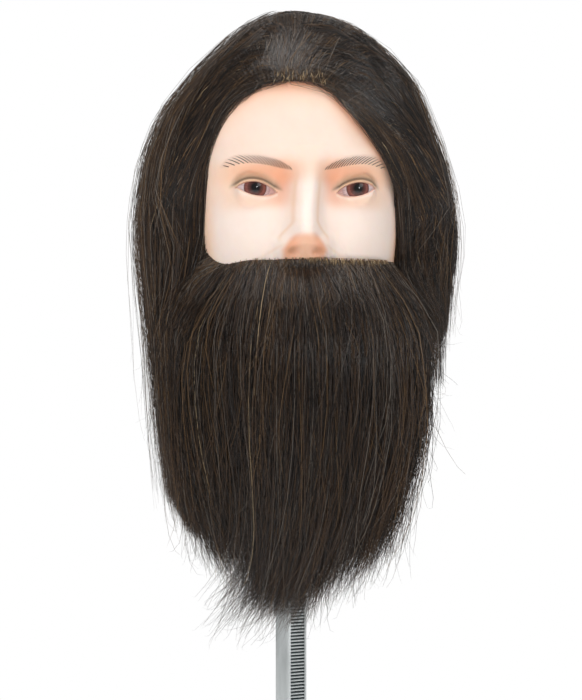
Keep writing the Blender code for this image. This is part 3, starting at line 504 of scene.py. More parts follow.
def skin_material():
    """Soft vinyl: its airbrushed colours, painted shade and a painted highlight among them, are held in the
    mesh and mottled a little here.
    """
    made, tree, shader = new_material("skin_vinyl_look")
    paint = node(tree, "ShaderNodeVertexColor", layer_name="airbrush_and_painted_light")
    mottle = ramp_node(tree, noise(tree, 45.0, 4.0, 0.6), (0.3, (0.965, 0.945, 0.93)), (0.7, WHITE))
    fill(
        shader,
        Base_Color=blend_colours(tree, 1.0, paint.outputs["Color"], mottle, "MULTIPLY"),
        Roughness=0.52,
        Specular_IOR_Level=0.3,
        Subsurface_Weight=0.2,
        Subsurface_Radius=(0.006, 0.003, 0.0015),
        Subsurface_Scale=0.6,
    )
    bump(tree, shader, noise(tree, 1400.0, 2.0, 0.5), 0.12, 0.0001)
    return made


IRIS_RADIUS, PUPIL_RADIUS = 0.0066, 0.0029


def eye_material():
    """Painted eye: pupil, iris with rays, dark rim and a pinkish white, under gloss."""
    made, tree, shader = new_material("eye_look")
    split = node(tree, "ShaderNodeSeparateXYZ", own_place(tree))
    x, z = split.outputs["X"], split.outputs["Z"]
    flat = node(tree, "ShaderNodeCombineXYZ", X=x, Y=z)
    away = node(tree, "ShaderNodeVectorMath", flat.outputs[0], operation="LENGTH").outputs["Value"]
    iris, pupil = IRIS_RADIUS / EYE_RADIUS, PUPIL_RADIUS / EYE_RADIUS
    rings = ramp_node(
        tree,
        calculate(tree, "MULTIPLY", away, 1 / EYE_RADIUS),
        (0.0, (0.003, 0.002, 0.002)),
        (pupil * 0.75, (0.005, 0.003, 0.003)),
        (pupil * 1.6, (0.15, 0.050, 0.040)),
        (iris * 0.75, (0.26, 0.088, 0.070)),
        (iris * 0.93, (0.20, 0.070, 0.058)),
        (iris * 1.0, (0.13, 0.06, 0.05)),
        (iris * 1.05, (0.72, 0.60, 0.62)),
        (0.85, (0.82, 0.64, 0.64)),
        (1.0, (0.78, 0.48, 0.42)),
    )
    rays = node(tree, "ShaderNodeCombineXYZ", X=calculate(tree, "ARCTAN2", x, z))
    fibre = node(tree, "ShaderNodeTexNoise", Vector=rays.outputs[0], Scale=9.0, Detail=3.0)
    shade = ramp_node(tree, fibre.outputs["Fac"], (0.35, (0.72, 0.68, 0.66)), (0.65, WHITE))
    fill(
        shader,
        Base_Color=blend_colours(tree, 1.0, rings, shade, "MULTIPLY"),
        Roughness=0.3,
        Specular_IOR_Level=0.1,
        Coat_Weight=0.6,
        Coat_Roughness=0.02,
    )
    return made


# ---- the head's pieces
SKIN_TONE = np.array((0.955, 0.800, 0.715))
PEACH = np.array((0.92, 0.60, 0.42))
BLUSH = np.array((0.85, 0.37, 0.21))
TAN = np.array((0.82, 0.55, 0.36))
OLIVE = np.array((0.17, 0.115, 0.070))
UMBER = np.array((0.27, 0.12, 0.07))
LID_PINK = np.array((0.84, 0.42, 0.32))
LID_LIGHT = np.array((0.90, 0.62, 0.40))
LID_EDGE = np.array((0.30, 0.12, 0.07))
EYE_PINK = np.array((0.78, 0.52, 0.48))
# Pale colour of the painted highlight down the nose's bridge.
PAINTED_BRIDGE_HIGHLIGHT = np.array((0.97, 0.86, 0.80))
NECK_TONE = SKIN_TONE * np.array((0.94, 0.80, 0.70))  # of the neck and the covered skull

# Brow on the head's left: outward place, lower height and upper height
BROW = (
    (0.0100, 0.0100, 0.0112), (0.0125, 0.0104, 0.0134), (0.0165, 0.0112, 0.0162), (0.0225, 0.0127, 0.0182),
    (0.0290, 0.0139, 0.0194), (0.0345, 0.0143, 0.0199), (0.0400, 0.0139, 0.0197), (0.0440, 0.0129, 0.0186),
    (0.0475, 0.0122, 0.0166), (0.0510, 0.0119, 0.0125),
)
BROW_LEAN = ((0.012, 56), (0.025, 46), (0.036, 33), (0.046, 18))  # degrees at outward places
BROW_GAP = 0.00130  # between neighbouring strokes
BROW_RADIUS = 0.00027


def brow_edges(out):
    """Heights of a brow's lower and upper edge at a place across it."""
    place, low, high = np.array(BROW).T
    return np.interp(out, place, low), np.interp(out, place, high)


def flesh_sprays(x, z, turn):
    """The colours of forehead, cheeks and eye sockets, airbrush tints with painted shade along the face's
    edges and round the eyes: how much of each, and its paint.
    """
    side = np.abs(x)
    beside = -past_face(turn) * 0.075
    edge = np.minimum(hairline(turn) - z, beside)
    high = ramp(z, 0.000, 0.024)
    yield 0.28 * high, PEACH
    # Peach and blush towards the hairline and the forehead's sides: airbrush tint, and painted shade under
    # the hair's edge and where the forehead turns away.
    yield 0.72 * ramp(edge, 0.022, 0.000) * high, PEACH
    yield 0.80 * ramp(edge, 0.0105, -0.002) * high, BLUSH
    # Painted shade where the cheeks turn away from the light, on both edges and more on the side of positive
    # x.
    yield 0.85 * ramp(beside, 0.018, 0.003) * (1 - high), PEACH * 1.08
    yield 0.50 * ramp(beside, 0.008, 0.000) * (1 - high) * ramp(x, -0.02, 0.02), BLUSH
    # Humps round the eyes: painted shade in the sockets under the brows, at the eyes' inner corners, below
    # the eyes and beyond their outer corners; the tan between the brows is a tint.
    for amount, paint, *shape in (
        (0.95, PEACH, EYE_APART - 0.001, 0.0090, 0.0250, 0.0068, 3.4),
        (0.55, BLUSH, EYE_APART - 0.005, 0.0085, 0.0190, 0.0060, 2.6),
        (0.72, BLUSH, 0.0150, 0.0030, 0.0056, 0.0110, 2.2),
        (0.16, TAN, 0, 0.0120, 0.0110, 0.0080),
        (0.62, PEACH, EYE_APART, -0.0080, 0.0170, 0.0046, 2.4),
        (0.35, BLUSH, EYE_APART - 0.013, -0.0070, 0.0065, 0.0045),
        (0.60, PEACH, EYE_APART + 0.016, 0.001, 0.010, 0.010),
    ):
        yield amount * hump(side, z, *shape), paint


def nose_sprays(x, z):
    """Painted shade on the nose's flanks, a painted highlight on its bridge, its ruddy underside darkened by
    painted shade at the nostrils, and painted shade in the folds beside it.
    """
    aside = from_nose(x, z)
    flank = 0.0072 + 0.0070 * ramp(z, -0.0200, -0.0310)
    # Painted shade down the nose's flanks, spreading towards its wings.
    yield 0.50 * band(aside, flank, 0.0012) * ramp(z, -0.034, -0.028) * ramp(z, 0.008, 0.0), TAN
    # Painted highlight down the nose's bridge.
    bridge_highlight = ramp(aside, 0.0066, 0.0040) * ramp(z, -0.0290, -0.0250) * ramp(z, 0.010, 0.002)
    yield 0.20 * bridge_highlight, PAINTED_BRIDGE_HIGHLIGHT
    # The underside: a darker, ruddier tint, partly its own colour and partly painted shade, with painted
    # shade at the nostril wings and in the nostrils and a lighter middle.
    under_half = np.interp(z, (-0.0425, -0.0370, -0.0280), (0.0120, 0.0126, 0.0066))
    under = ramp(z, -0.0262, -0.0310) * ramp(aside, under_half + 0.0024, under_half - 0.0020)
    yield 0.90 * under, BLUSH * 0.45 + PEACH * 0.55
    yield 0.60 * under * hump(aside, z, 0.0090, -0.0360, 0.0048, 0.0060), BLUSH
    yield 0.35 * under * hump(aside, z, 0.0, -0.0385, 0.0045, 0.0060), PEACH
    yield 0.30 * hump(aside, z, 0.0078, -0.0375, 0.0030, 0.0030), UMBER
    # Painted shade in the folds beside the nose.
    fold = band(z, -0.0350 - (aside - 0.0140) * 0.60, 0.0011) * ramp(aside, 0.034, 0.016)
    yield 0.30 * fold * ramp(aside, 0.011, 0.014), TAN


def eye_sprays(x, z):
    """Painted shade in and above the lids' creases, the lids' edges, the corners of the eyes and the ground
    of the brows.
    """
    side = np.abs(x)
    out = side - EYE_APART
    upper, lower = lid_lines(out)
    crease = crease_line(out)
    reach = ramp(np.abs(out + 0.0008), 0.0165, 0.0105)
    inside = within_eye(out, 0.001)
    for amount, height, half, where, paint in (
        # Painted shade above and in the lids' creases.
        (0.55, crease + 0.0016, 0.0023, reach, OLIVE * 2.4),
        (0.90, crease + 0.0001, 0.0011, reach, OLIVE),
        (0.70, upper + 0.0008, 0.00055, reach, LID_LIGHT),
        (0.80, upper + 0.0001, 0.00045, inside, LID_EDGE),
        (0.60, lower - 0.0002, 0.0005, inside, LID_PINK),
        (0.45, lower - 0.0016, 0.0008, inside, SKIN_TONE),
    ):
        yield amount * band(z, height, half) * where, paint
    yield ramp(np.minimum(upper - z, z - lower), 0.0001, 0.0005) * within_eye(out), EYE_PINK
    low, high = brow_edges(side)
    brow = ramp(z, low - 0.0006, low + 0.0008) * ramp(z, high + 0.0008, high - 0.0008)
    yield 0.12 * brow * ramp(side, 0.0095, 0.0130) * ramp(side, 0.0515, 0.0480), UMBER


def airbrush_and_painted_light(x, z, turn):
    """The painted colours of the face at places in its plane: airbrush tints, with painted shade in its
    hollows, creases and turned-away edges and a painted highlight on the nose.
    """
    colour = SKIN_TONE
    for amount, paint in (*flesh_sprays(x, z, turn), *nose_sprays(x, z), *eye_sprays(x, z)):
        amount = np.clip(amount, 0, 1)[..., None]
        colour = colour * (1 - amount) + paint * amount
    return colour


def make_head():
    """The vinyl head: a fine skin with the face's features, open at the neck's base."""
    turn = np.radians(np.concatenate((np.linspace(-47, 47, 262), np.linspace(47, 313, 56)[1:-1])))
    heights = np.concatenate((
        np.linspace(NECK_BASE, -0.048, 50)[:-1],
        np.linspace(-0.048, 0.034, 176),
        HEAD_MIDDLE + HEAD_RISE * np.sin(np.linspace(-0.095, 1.5, 46))[1:],
    ))
    neck = [
        stacked(radius * np.sin(turn), -radius * np.cos(turn), z) for radius, z in NECK_RINGS
    ]
    points, faces = turned_shape(
        np.concatenate((neck, head_points(*np.meshgrid(turn, heights)))),
        (0.0, 0.0, SOCKET_TOP + 0.003),
        (0.0, 0.0, HEAD_MIDDLE + HEAD_RISE),
    )
    head = add_mesh("head_skin", points, faces, skin_material(), radians(70))
    x, y, z = points.T
    behind = ramp(y, -0.045, -0.005)[:, None]
    colours = airbrush_and_painted_light(x, z, np.arctan2(x, -y)) * (1 - behind) + NECK_TONE * behind
    # The vertex colours hold airbrush tints together with painted shade and a painted highlight.
    paint = head.data.color_attributes.new("airbrush_and_painted_light", "FLOAT_COLOR", "POINT")
    paint.data.foreach_set("color", np.column_stack((colours, np.ones(len(points)))).ravel())
    in_head(head, "skin_vinyl", "head_shell")


def make_brows(materials):
    """Fine, even strokes that lie on the brow from its lower edge to its upper one. They lean
    outwards, most at the brow's outer end."""
    steps = np.linspace(0, 1, 7)
    paths = []
    for side in (-1, 1):
        out = BROW[0][0]
        while out < BROW[-1][0] - 0.0040:
            lean = radians(read_table(BROW_LEAN, out))
            start = brow_edges(out)[0]
            length = 0.004
            for _ in range(12):
                tall = brow_edges(out + length * cos(lean))[1] - start
                length = 0.5 * length + 0.5 * float(np.clip(tall / sin(lean), 0.0022, 0.0100))
            length *= rng.uniform(0.92, 1.04)
            bend = lean * (1.12 - 0.24 * steps)
            x = side * (out + length * steps * np.cos(bend))
            z = start + length * steps * np.sin(bend)
            turn = np.arcsin(np.clip(x / 0.086, -0.75, 0.75))
            for _ in range(4):
                spot = head_points(turn, z)
                turn = turn + (x - spot[:, 0]) / np.hypot(spot[:, 0], spot[:, 1])
            paths.append(head_points(turn, z) - np.array((0, 0.00016, 0)))
            out += BROW_GAP / sin(lean)
    widths = BROW_RADIUS * rng.uniform(0.85, 1.15, len(paths))
    strand_mesh("brow_strokes", np.array(paths), widths, rng.choice((0, 1), len(paths)), materials)


def make_eyes():
    look = eye_material()
    for name, place in (("left", EYE_LEFT), ("right", EYE_RIGHT)):
        bm = bmesh.new()
        bmesh.ops.create_uvsphere(bm, u_segments=64, v_segments=40, radius=EYE_RADIUS)
        bmesh.ops.transform(bm, matrix=Matrix.Rotation(pi / 2, 4, "X"), verts=bm.verts)
        for vert in bm.verts:
            vert.co.y = min(vert.co.y, EYE_RADIUS * 0.45)
            if vert.co.y < 0:
                away = np.hypot(vert.co.x, vert.co.z)
                vert.co.y -= 0.0009 * float(ramp(away, IRIS_RADIUS * 1.1, 0.0))
        eye = add_bmesh(f"eyeball_{name}", bm)
        eye.data.materials.append(look)
        eye.data.shade_smooth()
        in_head(eye, "eye_acrylic", f"eye_{name}", place=(place.x, AXIS.y + EYE_Y, EYE_Z))


# ---- strands
def unit(vectors):
    return vectors / (np.linalg.norm(vectors, axis=-1, keepdims=True) + 1e-12)


def strand_mesh(name, paths, widths, shades, materials, sides=3):
    """One mesh of closed, tapered strands. paths is strands by places by 3, widths the
    root radius of each, and shades the material of each."""
    count, places, _ = paths.shape
    along = unit(np.gradient(paths, axis=1))
    across = unit(np.cross(along, paths * np.array((1.0, 1.0, 0.35))))
    up = np.cross(across, along)
    body = places - 1
    taper = np.clip(1.15 - np.linspace(0, 1, places)[:body] ** 2.2, 0.05, 1.0)
    angle = np.arange(sides)[:, None] * 2 * pi / sides
    round_it = np.cos(angle) * up[:, :body, None] + np.sin(angle) * across[:, :body, None]
    rings = paths[:, :body, None] + (widths[:, None] * taper)[:, :, None, None] * round_it
    points = np.concatenate((rings.reshape(count, body * sides, 3), paths[:, -1:]), axis=1)
    faces = ring_faces(body, sides)
    last = (body - 1) * sides
    for j in range(sides):
        faces.append((last + j, last + (j + 1) % sides, body * sides))
    faces.append(tuple(reversed(range(sides))))
    loops = np.concatenate(faces)
    totals = np.array([len(face) for face in faces])
    starts = np.cumsum(totals) - totals
    strand = np.arange(count)[:, None]
    mesh = bpy.data.meshes.new(name)
    mesh.vertices.add(points.size // 3)
    mesh.vertices.foreach_set("co", points.ravel())
    mesh.loops.add(count * len(loops))
    mesh.loops.foreach_set("vertex_index", (strand * points.shape[1] + loops).ravel().astype(np.int32))
    mesh.polygons.add(count * len(faces))
    mesh.polygons.foreach_set("loop_start", (strand * len(loops) + starts).ravel().astype(np.int32))
    mesh.polygons.foreach_set("material_index", np.repeat(shades, len(faces)).astype(np.int32))
    mesh.polygons.foreach_set("use_smooth", np.ones(count * len(faces), dtype=bool))
    mesh.update(calc_edges=True)
    for made in materials:
        mesh.materials.append(made)
    in_head(placed(name, mesh), "hair")


def spline_weights(controls, places):
    """Weights that carry control points to places along a smooth curve that starts and ends
    at the first and last of them and is drawn towards the others."""
    weights = np.zeros((places, controls))
    for i, t in enumerate(np.linspace(-1, controls, places)):
        k = min(int(np.floor(t)), controls - 1)
        u = t - k
        part = (
            (1 - u) ** 3 / 6,
            (3 * u**3 - 6 * u**2 + 4) / 6,
            (-3 * u**3 + 3 * u**2 + 3 * u + 1) / 6,
            u**3 / 6,
        )
        for index, share in zip((k - 1, k, k + 1, k + 2), part):
            weights[i, min(max(index, 0), controls - 1)] += share
    return weights


def clumped(paths, clumps, pull):
    """Draws strands towards a few of their own number, more and more to their tips, and
    says which one each strand follows."""
    count, places, _ = paths.shape
    leaders = rng.choice(count, size=clumps, replace=False)
    marks = paths[:, (places // 3, places * 2 // 3, places - 1)].reshape(count, -1)
    apart = ((marks[:, None, :] - marks[None, leaders, :]) ** 2).sum(axis=2)
    nearest = leaders[apart.argmin(axis=1)]
    t = np.linspace(0, 1, places)[None, :, None]
    strength = pull * rng.uniform(0.3, 1.0, count)[:, None, None] * t**1.3
    return paths + (paths[nearest] - paths) * strength, nearest


def waves(count, places, size, bends=3):
    """Slow sideways wander for each strand, none at its root and most at its tip."""
    t = np.linspace(0, 1, places)
    wander = np.zeros((count, places, 3))
    for bend in range(1, bends + 1):
        phase = rng.uniform(0, 2 * pi, (count, 1, 3))
        amount = size / bend * np.clip(rng.normal(0, 1, (count, 1, 3)), -2, 2)
        wander += amount * np.sin(t[None, :, None] * pi * bend * 1.3 + phase)
        wander -= amount * np.sin(phase)
    return wander * np.array(WANDER_SHARES) * (t**1.2)[None, :, None]


# ---- hair
# Name, colour, roughness and specular level
SHADES = (
    ("strand_black", (0.0050, 0.0038, 0.0034), 0.30, 0.60),
    ("strand_dark", (0.0105, 0.0074, 0.0058), 0.32, 0.60),
    ("strand_brown", (0.0370, 0.0220, 0.0140), 0.34, 0.60),
    ("strand_chestnut", (0.0900, 0.0510, 0.0260), 0.38, 0.50),
    ("strand_golden", (0.2100, 0.1220, 0.0540), 0.42, 0.50),
    ("strand_light", (0.5500, 0.4100, 0.2400), 0.50, 0.30),
    # Light grey strands stand for the hair's gloss: painted sheen.
    ("strand_grey_sheen", (0.2000, 0.1700, 0.1420), 0.40, 0.50),
)
SHADE_SHARES = (0.28, 0.28, 0.25, 0.145, 0.041, 0.004, 0.006)
SHADE_SHIFT = (-0.6, -0.2, 0.3, 0.3, 0.13, 0.0, 0.42)  # what lighter hair and painted sheen add to the shares
STRAND_RADIUS = 0.00017
STRAND_PLACES = 14
PARTING = radians(-8)
PER_CLUMP = 13
WANDER_SHARES = (1.0, 0.6, 0.8)  # sideways, front to back, and up and down
SAME_SHADE = 0.6  # share of strands that take the shade of their clump

# Lowest reach of the long hair: degrees from the face, and height
HAIR_ENDS = (
    (-180, -0.186), (-120, -0.190), (-85, -0.192), (-70, -0.202), (-58, -0.210), (-47, -0.214),
    (47, -0.070), (60, -0.082), (85, -0.088), (112, -0.086), (128, -0.120), (142, -0.170), (180, -0.186),
)


def strand_materials():
    return [
        new_material(name, Base_Color=(*colour, 1.0), Roughness=rough, Specular_IOR_Level=specular)[0]
        for name, colour, rough, specular in SHADES
    ]


# Higher values shift the shares to lighter hair and to grey strands of painted sheen.
def pick_shades(count, lighter_and_sheen=0.0):
    shares = np.clip(np.array(SHADE_SHARES) + np.array(SHADE_SHIFT) * lighter_and_sheen, 0.0, None)
    return rng.choice(len(SHADES), count, p=shares / shares.sum())


def hair_fullness(turn, z):
    """1 where the hair stands off the head in full, less towards the hairline."""
    turn = wrapped(turn)
    above = z - hairline(turn)
    beside = past_face(turn) * 0.08
    full = 0.12 + 0.88 * ramp(np.maximum(above, beside), -0.001, 0.030)
    return full + (1 - full) * ramp(z, -0.040, -0.085)


def hair_place(turn, fall, depth):
    """Points of the hair. fall is 0 at the apex, 1 at the dome's foot and grows by 1 for
    each dome's height below it. depth is how far in from the outside, in metres."""
    fall = np.maximum(fall, 0.02)
    lift = np.clip(1 - fall, 0, 1) * pi / 2
    z = HAIR_MIDDLE + HAIR_RISE * np.sin(lift) - np.maximum(fall - 1, 0) * HAIR_RISE
    inner = head_reach(turn, z) + 0.0015
    full = np.maximum(hair_reach(turn, z) - inner, 0.004)
    reach = np.maximum(inner + full * hair_fullness(turn, z) - depth, inner)
    top = 0.0035 * ramp(z, 0.070, 0.112)
    return stacked(slimmed(reach * np.sin(turn), z), -reach * np.cos(turn), z + top)


def fall_of(z):
    """The fall at height z."""
    z = np.asarray(z, dtype=float)
    lift = np.arcsin(np.clip((z - HAIR_MIDDLE) / HAIR_RISE, 0, 1))
    return np.where(z > HAIR_MIDDLE, 1 - lift / (pi / 2), 1 + (HAIR_MIDDLE - z) / HAIR_RISE)


def map_paths(across, ahead, depths):
    """Strand paths from control points on a flat map of the hair, its apex in the middle."""
    weights = spline_weights(across.shape[1], STRAND_PLACES)
    across, ahead = across @ weights.T, ahead @ weights.T
    return hair_place(np.arctan2(across, ahead), np.hypot(across, ahead), depths[:, None])


def flat_paths(turns, falls, depths):
    """The same from control points in turn and fall."""
    return map_paths(falls * np.sin(turns), falls * np.cos(turns), depths)


def hair_end(turn):
    """Height where strands end at a place round the head, most of them near the lowest."""
    full = from_table(HAIR_ENDS, wrapped(turn))
    full = full - 0.034 * (some(turn.shape) < 0.07) * ramp(turn, radians(30), radians(60))
    return full + (0.040 - full) * 0.50 * some(turn.shape, 2.6)


def between(start, end, *shares):
    """One column per share of the way from start to end."""
    return start[:, None] + np.outer(end - start, shares)


def front_strands(count, side, widest=1.0, dip=0.0):
    """Strands rooted along the forehead's hairline. They run beside it, the widely sweeping
    ones higher up, and fall once they are past the face's edge. dip lets them down over it."""
    edge = FACE_RIGHT if side < 0 else FACE_LEFT
    root_turn = PARTING + (edge - PARTING) * some(count, 1.25)
    root_turn = root_turn + rng.normal(0, radians(2.0), count)
    outward = np.clip((root_turn - PARTING) / (edge - PARTING), 0, 1)
    sweep = widest * some(count, 0.9)
    dips = dip * some(count)
    last = side * np.radians(54 + 63 * sweep * (1 - 0.65 * outward)) * rng.normal(1, 0.02, count)
    above = (0.003 + 0.064 * sweep) * (1 - 0.75 * outward)
    turns = [root_turn]
    heights = [hairline(root_turn) + np.abs(rng.normal(0, 0.0030, count))]
    for share, lift in ((0.03, 0.45), (0.14, 0.95), (0.32, 1.10), (0.54, 1.05), (0.78, 0.90)):
        turn = root_turn + (last - root_turn) * share
        turns.append(turn)
        heights.append(np.minimum(hairline(turn) + 0.002 - dips + above * lift, 0.102))
    shoulder = -0.040 + above * 0.75
    end = hair_end(last)
    for share, spread in ((0.0, 0.0), (0.33, 0.0), (0.67, 0.03), (1.0, 0.05)):
        turns.append(last * rng.normal(1, spread, count))
        heights.append(shoulder + (end - shoulder) * share)
    return stacked(*turns), fall_of(stacked(*heights))


def swept_back(count):
    """Map places of strands rooted at the middle of the hairline and combed back over the
    apex, fanned out to both sides."""
    root_turn = PARTING + np.radians(rng.normal(0, 8, count))
    root = fall_of(hairline(root_turn) + np.abs(rng.normal(0, 0.0040, count)))
    fan = 2.2 * (root_turn - PARTING) + rng.normal(0, 0.16, count)
    end = fall_of(hair_end(np.full(count, pi)))
    start = root * np.sin(root_turn)
    spread = np.outer(fan, (0.45, 0.85, 1.1, 1.2, 1.2, 1.2))
    across = np.column_stack((start, start + 0.05 * fan, spread))
    first = root * np.cos(root_turn)
    ahead = stacked(first, first - 0.06, first * 0.60, 0.05, -0.45, -1.0, -1.0 + (end - 1) * -0.5, -end)
    return across, ahead


def crown_strands(count, low, high):
    """Strands rooted over the top and back of the head, falling where they lie."""
    root_turn = np.radians(rng.uniform(low, high, count))
    around = np.abs(root_turn)
    side = np.where(root_turn + rng.normal(0, radians(10), count) > PARTING, 1, -1)
    root = rng.uniform(0.06, 0.80, count) * (1 - 0.45 * ramp(around, radians(75), radians(30)))
    swept = side * np.radians(rng.uniform(56, 112, count))
    last = np.where(around < radians(56), swept, root_turn)
    end = fall_of(hair_end(last))
    turns = between(root_turn, last, 0, 0.25, 0.75, 1, 1, 1, 1)
    turns[:, 5] *= rng.normal(1, 0.03, count)
    turns[:, 6] *= rng.normal(1, 0.04, count)
    shoulder = np.maximum(root + 0.25, 0.80)
    falls = np.hstack((between(root, shoulder, 0, 0.22, 0.62, 1), between(shoulder, end, 0.34, 0.67, 1)))
    return turns, falls


def grow(name, paths, materials, lighter_and_sheen=0.0, wander=0.0016, pull=0.72, thick=1.0):
    """One piece of strands, gathered into clumps that part and wander a little."""
    count = len(paths)
    paths, leader = clumped(paths, max(count // PER_CLUMP, 1), pull)
    paths = paths + waves(count, STRAND_PLACES, wander)
    widths = STRAND_RADIUS * thick * rng.uniform(0.65, 1.25, count)
    shades = pick_shades(count, lighter_and_sheen)
    follow = (some(count) < SAME_SHADE) & (shades[leader] < 4)
    strand_mesh(f"strands_{name}", paths, widths, np.where(follow, shades[leader], shades), materials)


def make_hair_strands(materials):
    for side, word in ((-1, "right"), (1, "left")):
        for layer, count, deep in (("top", 2800, 0.004), ("mid", 2800, 0.008), ("under", 2800, 0.015)):
            turns, falls = front_strands(count, side)
            depths = deep * some(count, 1.4)
            grow(f"front_{word}_{layer}", flat_paths(turns, falls, depths), materials, 0.08)
        turns, falls = front_strands(420, side, 0.20, 0.0085)
        paths = flat_paths(turns, falls, np.full(len(turns), -0.0004))
        grow(f"edge_{word}", paths, materials, 0.2, 0.0014, 0.1, 0.6)
    for name, low, high, count, lighter_and_sheen in (
        ("crown_top", -180, 180, 2800, 0.2),
        ("back_right", -180, -58, 2800, 0.6),
        ("back_left", 58, 180, 2600, 0.2),
    ):
        turns, falls = crown_strands(count, low, high)
        depths = 0.010 * some(count, 1.5)
        grow(name, flat_paths(turns, falls, depths), materials, lighter_and_sheen)
    count = 2400
    across, ahead = swept_back(count)
    depths = 0.006 * some(count, 1.5) - 0.0005
    # Lighter and grey shades over the top of the head: painted sheen, with some lighter hair.
    grow("swept_back", map_paths(across, ahead, depths), materials, 0.45, 0.0013, 0.85)


def make_flyaways(materials):
    """Loose single hairs that stand off the outline."""
    for name, low, high, count, away in (
        ("hair_right", -150, -52, 620, 0.0090), ("hair_left", 52, 150, 260, 0.0030),
    ):
        turns, falls = crown_strands(count, low, high)
        depths = -away * some(count, 1.5)
        paths = flat_paths(turns, falls, depths)
        grow(f"loose_{name}", paths, materials, 0.6, 0.0036, 0.15, 0.65)
    turns, heights, fullness = beard_strands(420, 0.02, 0.0)
    stray = 0.16 * some(len(turns), 2) * (turns[:, -1] < radians(-18))
    paths = beard_paths(turns, heights, fullness + 0.03 + stray)
    grow("loose_beard", paths, materials, 0.3, 0.0056, 0.1, 0.60)


def make_knots(materials):
    """Light, short root knots in a row along the forehead's hairline and the moustache."""
    places = []
    for _ in range(95):
        turn = PARTING + radians(4) + radians(11) * rng.uniform(-1, 1)
        z = float(hairline(turn)) + 0.0075 * rng.uniform(0, 1) ** 1.6
        heights = np.array((z - 0.001, z + 0.0040 * rng.uniform(0.4, 1)))
        spots = hair_place(np.full(2, turn), fall_of(heights), -0.0012)
        spots[1, 0] += rng.normal(0, 0.0010)
        places.append(spots)
    for _ in range(280):
        turn = radians(rng.choice((rng.uniform(-4, 38), rng.uniform(-30, 40)), p=(0.75, 0.25)))
        z = float(beard_line(turn))
        heights = np.array((z + 0.0008, z - 0.0042 * rng.uniform(0.3, 1.0)))
        spots = beard_place(np.full(2, turn), heights, 1.0)
        spots[:, 1] -= 0.0009
        spots[1, 0] += rng.normal(0, 0.0005)
        places.append(spots)
    paths = np.linspace(*np.array(places).swapaxes(0, 1), 4, axis=1)
    shades = rng.choice((3, 4, 5), len(paths), p=(0.35, 0.35, 0.30))
    strand_mesh("root_knots", paths, STRAND_RADIUS * rng.uniform(0.7, 1.1, len(paths)), shades, materials)


# ---- beard
BEARD_LINE = -0.0425  # height of the moustache's straight upper edge
TIP_TURN = radians(-6)
# Lowest reach of the beard: degrees from the face, and height
BEARD_ENDS = (
    (-75, -0.184), (-62, -0.206), (-50, -0.217), (-40, -0.222), (-30, -0.221), (-24, -0.220), (-20, -0.238),
    (-14, -0.246), (-5, -0.252), (4, -0.247), (12, -0.234), (20, -0.220), (30, -0.210), (42, -0.190),
    (50, -0.168), (58, -0.145),
)


# The run of a beard strand at eight places: shares of its height, of its fanning out, of its drawing
# together, of its sweep aside at the tip and of its sway
BEARD_COURSES = (
    (0.0, 0.05, 0.16, 0.36, 0.58, 0.78, 0.90, 1.0),
    (0.0, 0.10, 0.45, 0.90, 1.0, 1.0, 1.0, 1.0),
    (0.0, 0.0, 0.0, 0.0, 0.25, 0.65, 0.88, 1.0),
    (0.0, 0.0, 0.0, 0.0, 0.0, 0.10, 0.45, 1.0),
    (0.0, 0.0, 0.1, 0.3, 0.7, 1.0, 0.7, 0.2),
)


def beard_line(turn):
    """Height of the moustache's edge, which turns up towards the side locks."""
    rise = np.clip((np.abs(turn) - radians(35)) / radians(16), 0, 1)
    return BEARD_LINE + 0.0090 * rise**2.0 * (turn < 0)


def skin_front(turn, z):
    """How far the bare face stands from the axis, features included."""
    reach = head_reach(turn, z)
    x = reach * np.sin(turn)
    return np.hypot(x, reach * np.cos(turn) + np.minimum(face_relief(x, z) * 0.8, 0.0050))


def beard_place(turn, z, fullness):
    """Points of the beard. fullness is 0 on the skin and 1 on the outside."""
    skin = skin_front(turn, np.maximum(z, -0.105)) + 0.0008
    puff = ramp(z, beard_line(turn) + 0.004, beard_line(turn) - 0.050) ** 0.7
    outer = hair_reach(turn, z) * (1 - 0.10 * ramp(z, -0.19, -0.27))
    inner = np.minimum(skin, outer - 0.002)
    reach = inner + np.maximum(outer - inner, 0.001) * puff * fullness
    return stacked(slimmed(reach * np.sin(turn), z), -reach * np.cos(turn), z)


def beard_paths(turns, heights, fullness):
    weights = spline_weights(turns.shape[1], STRAND_PLACES)
    return beard_place(turns @ weights.T, heights @ weights.T, fullness[:, None])


def beard_strands(count, top, spread, longest=1.0):
    """Strands rooted below the moustache's edge or, from top on, lower on the face. They
    fan out at first, and the long ones draw together and sweep aside at the tip."""
    root_turn = np.radians(rng.uniform(-53, 47, count))
    root_z = beard_line(root_turn) - top * some(count) - np.abs(rng.normal(0, 0.0008, count))
    length = longest * (1 - 0.70 * some(count, 2.8))
    fan = np.where(root_turn < 0, 1 + 0.38 * ramp(-root_turn, radians(12), radians(46)), 1.0)
    fanned = root_turn * fan + np.radians(rng.normal(0, 2.5, count))
    gather = 1 - 0.42 * length**3
    last = TIP_TURN + (fanned - TIP_TURN) * gather
    at_tip = ramp(np.abs(last - TIP_TURN), radians(24), radians(5)) * length**6
    loose = some(count) < 0.16
    aside = radians(-9) * at_tip * rng.uniform(0.4, 1.5, count) * np.where(loose, 4.0, 1.0)
    end = root_z + (from_table(BEARD_ENDS, last) - root_z) * length
    end = end - 0.012 * at_tip * loose * rng.uniform(0.3, 1.3, count)
    sway = radians(3.6) * np.sin(13 * root_turn + 1.0) * rng.uniform(0.1, 1.3, count)
    steps, *courses = BEARD_COURSES
    turns = root_turn[:, None] + stacked(fanned - root_turn, last - fanned, aside, sway) @ courses
    heights = between(root_z, end, *steps)
    fullness = 1 - spread * some(count, 1.8)
    return turns, heights, fullness


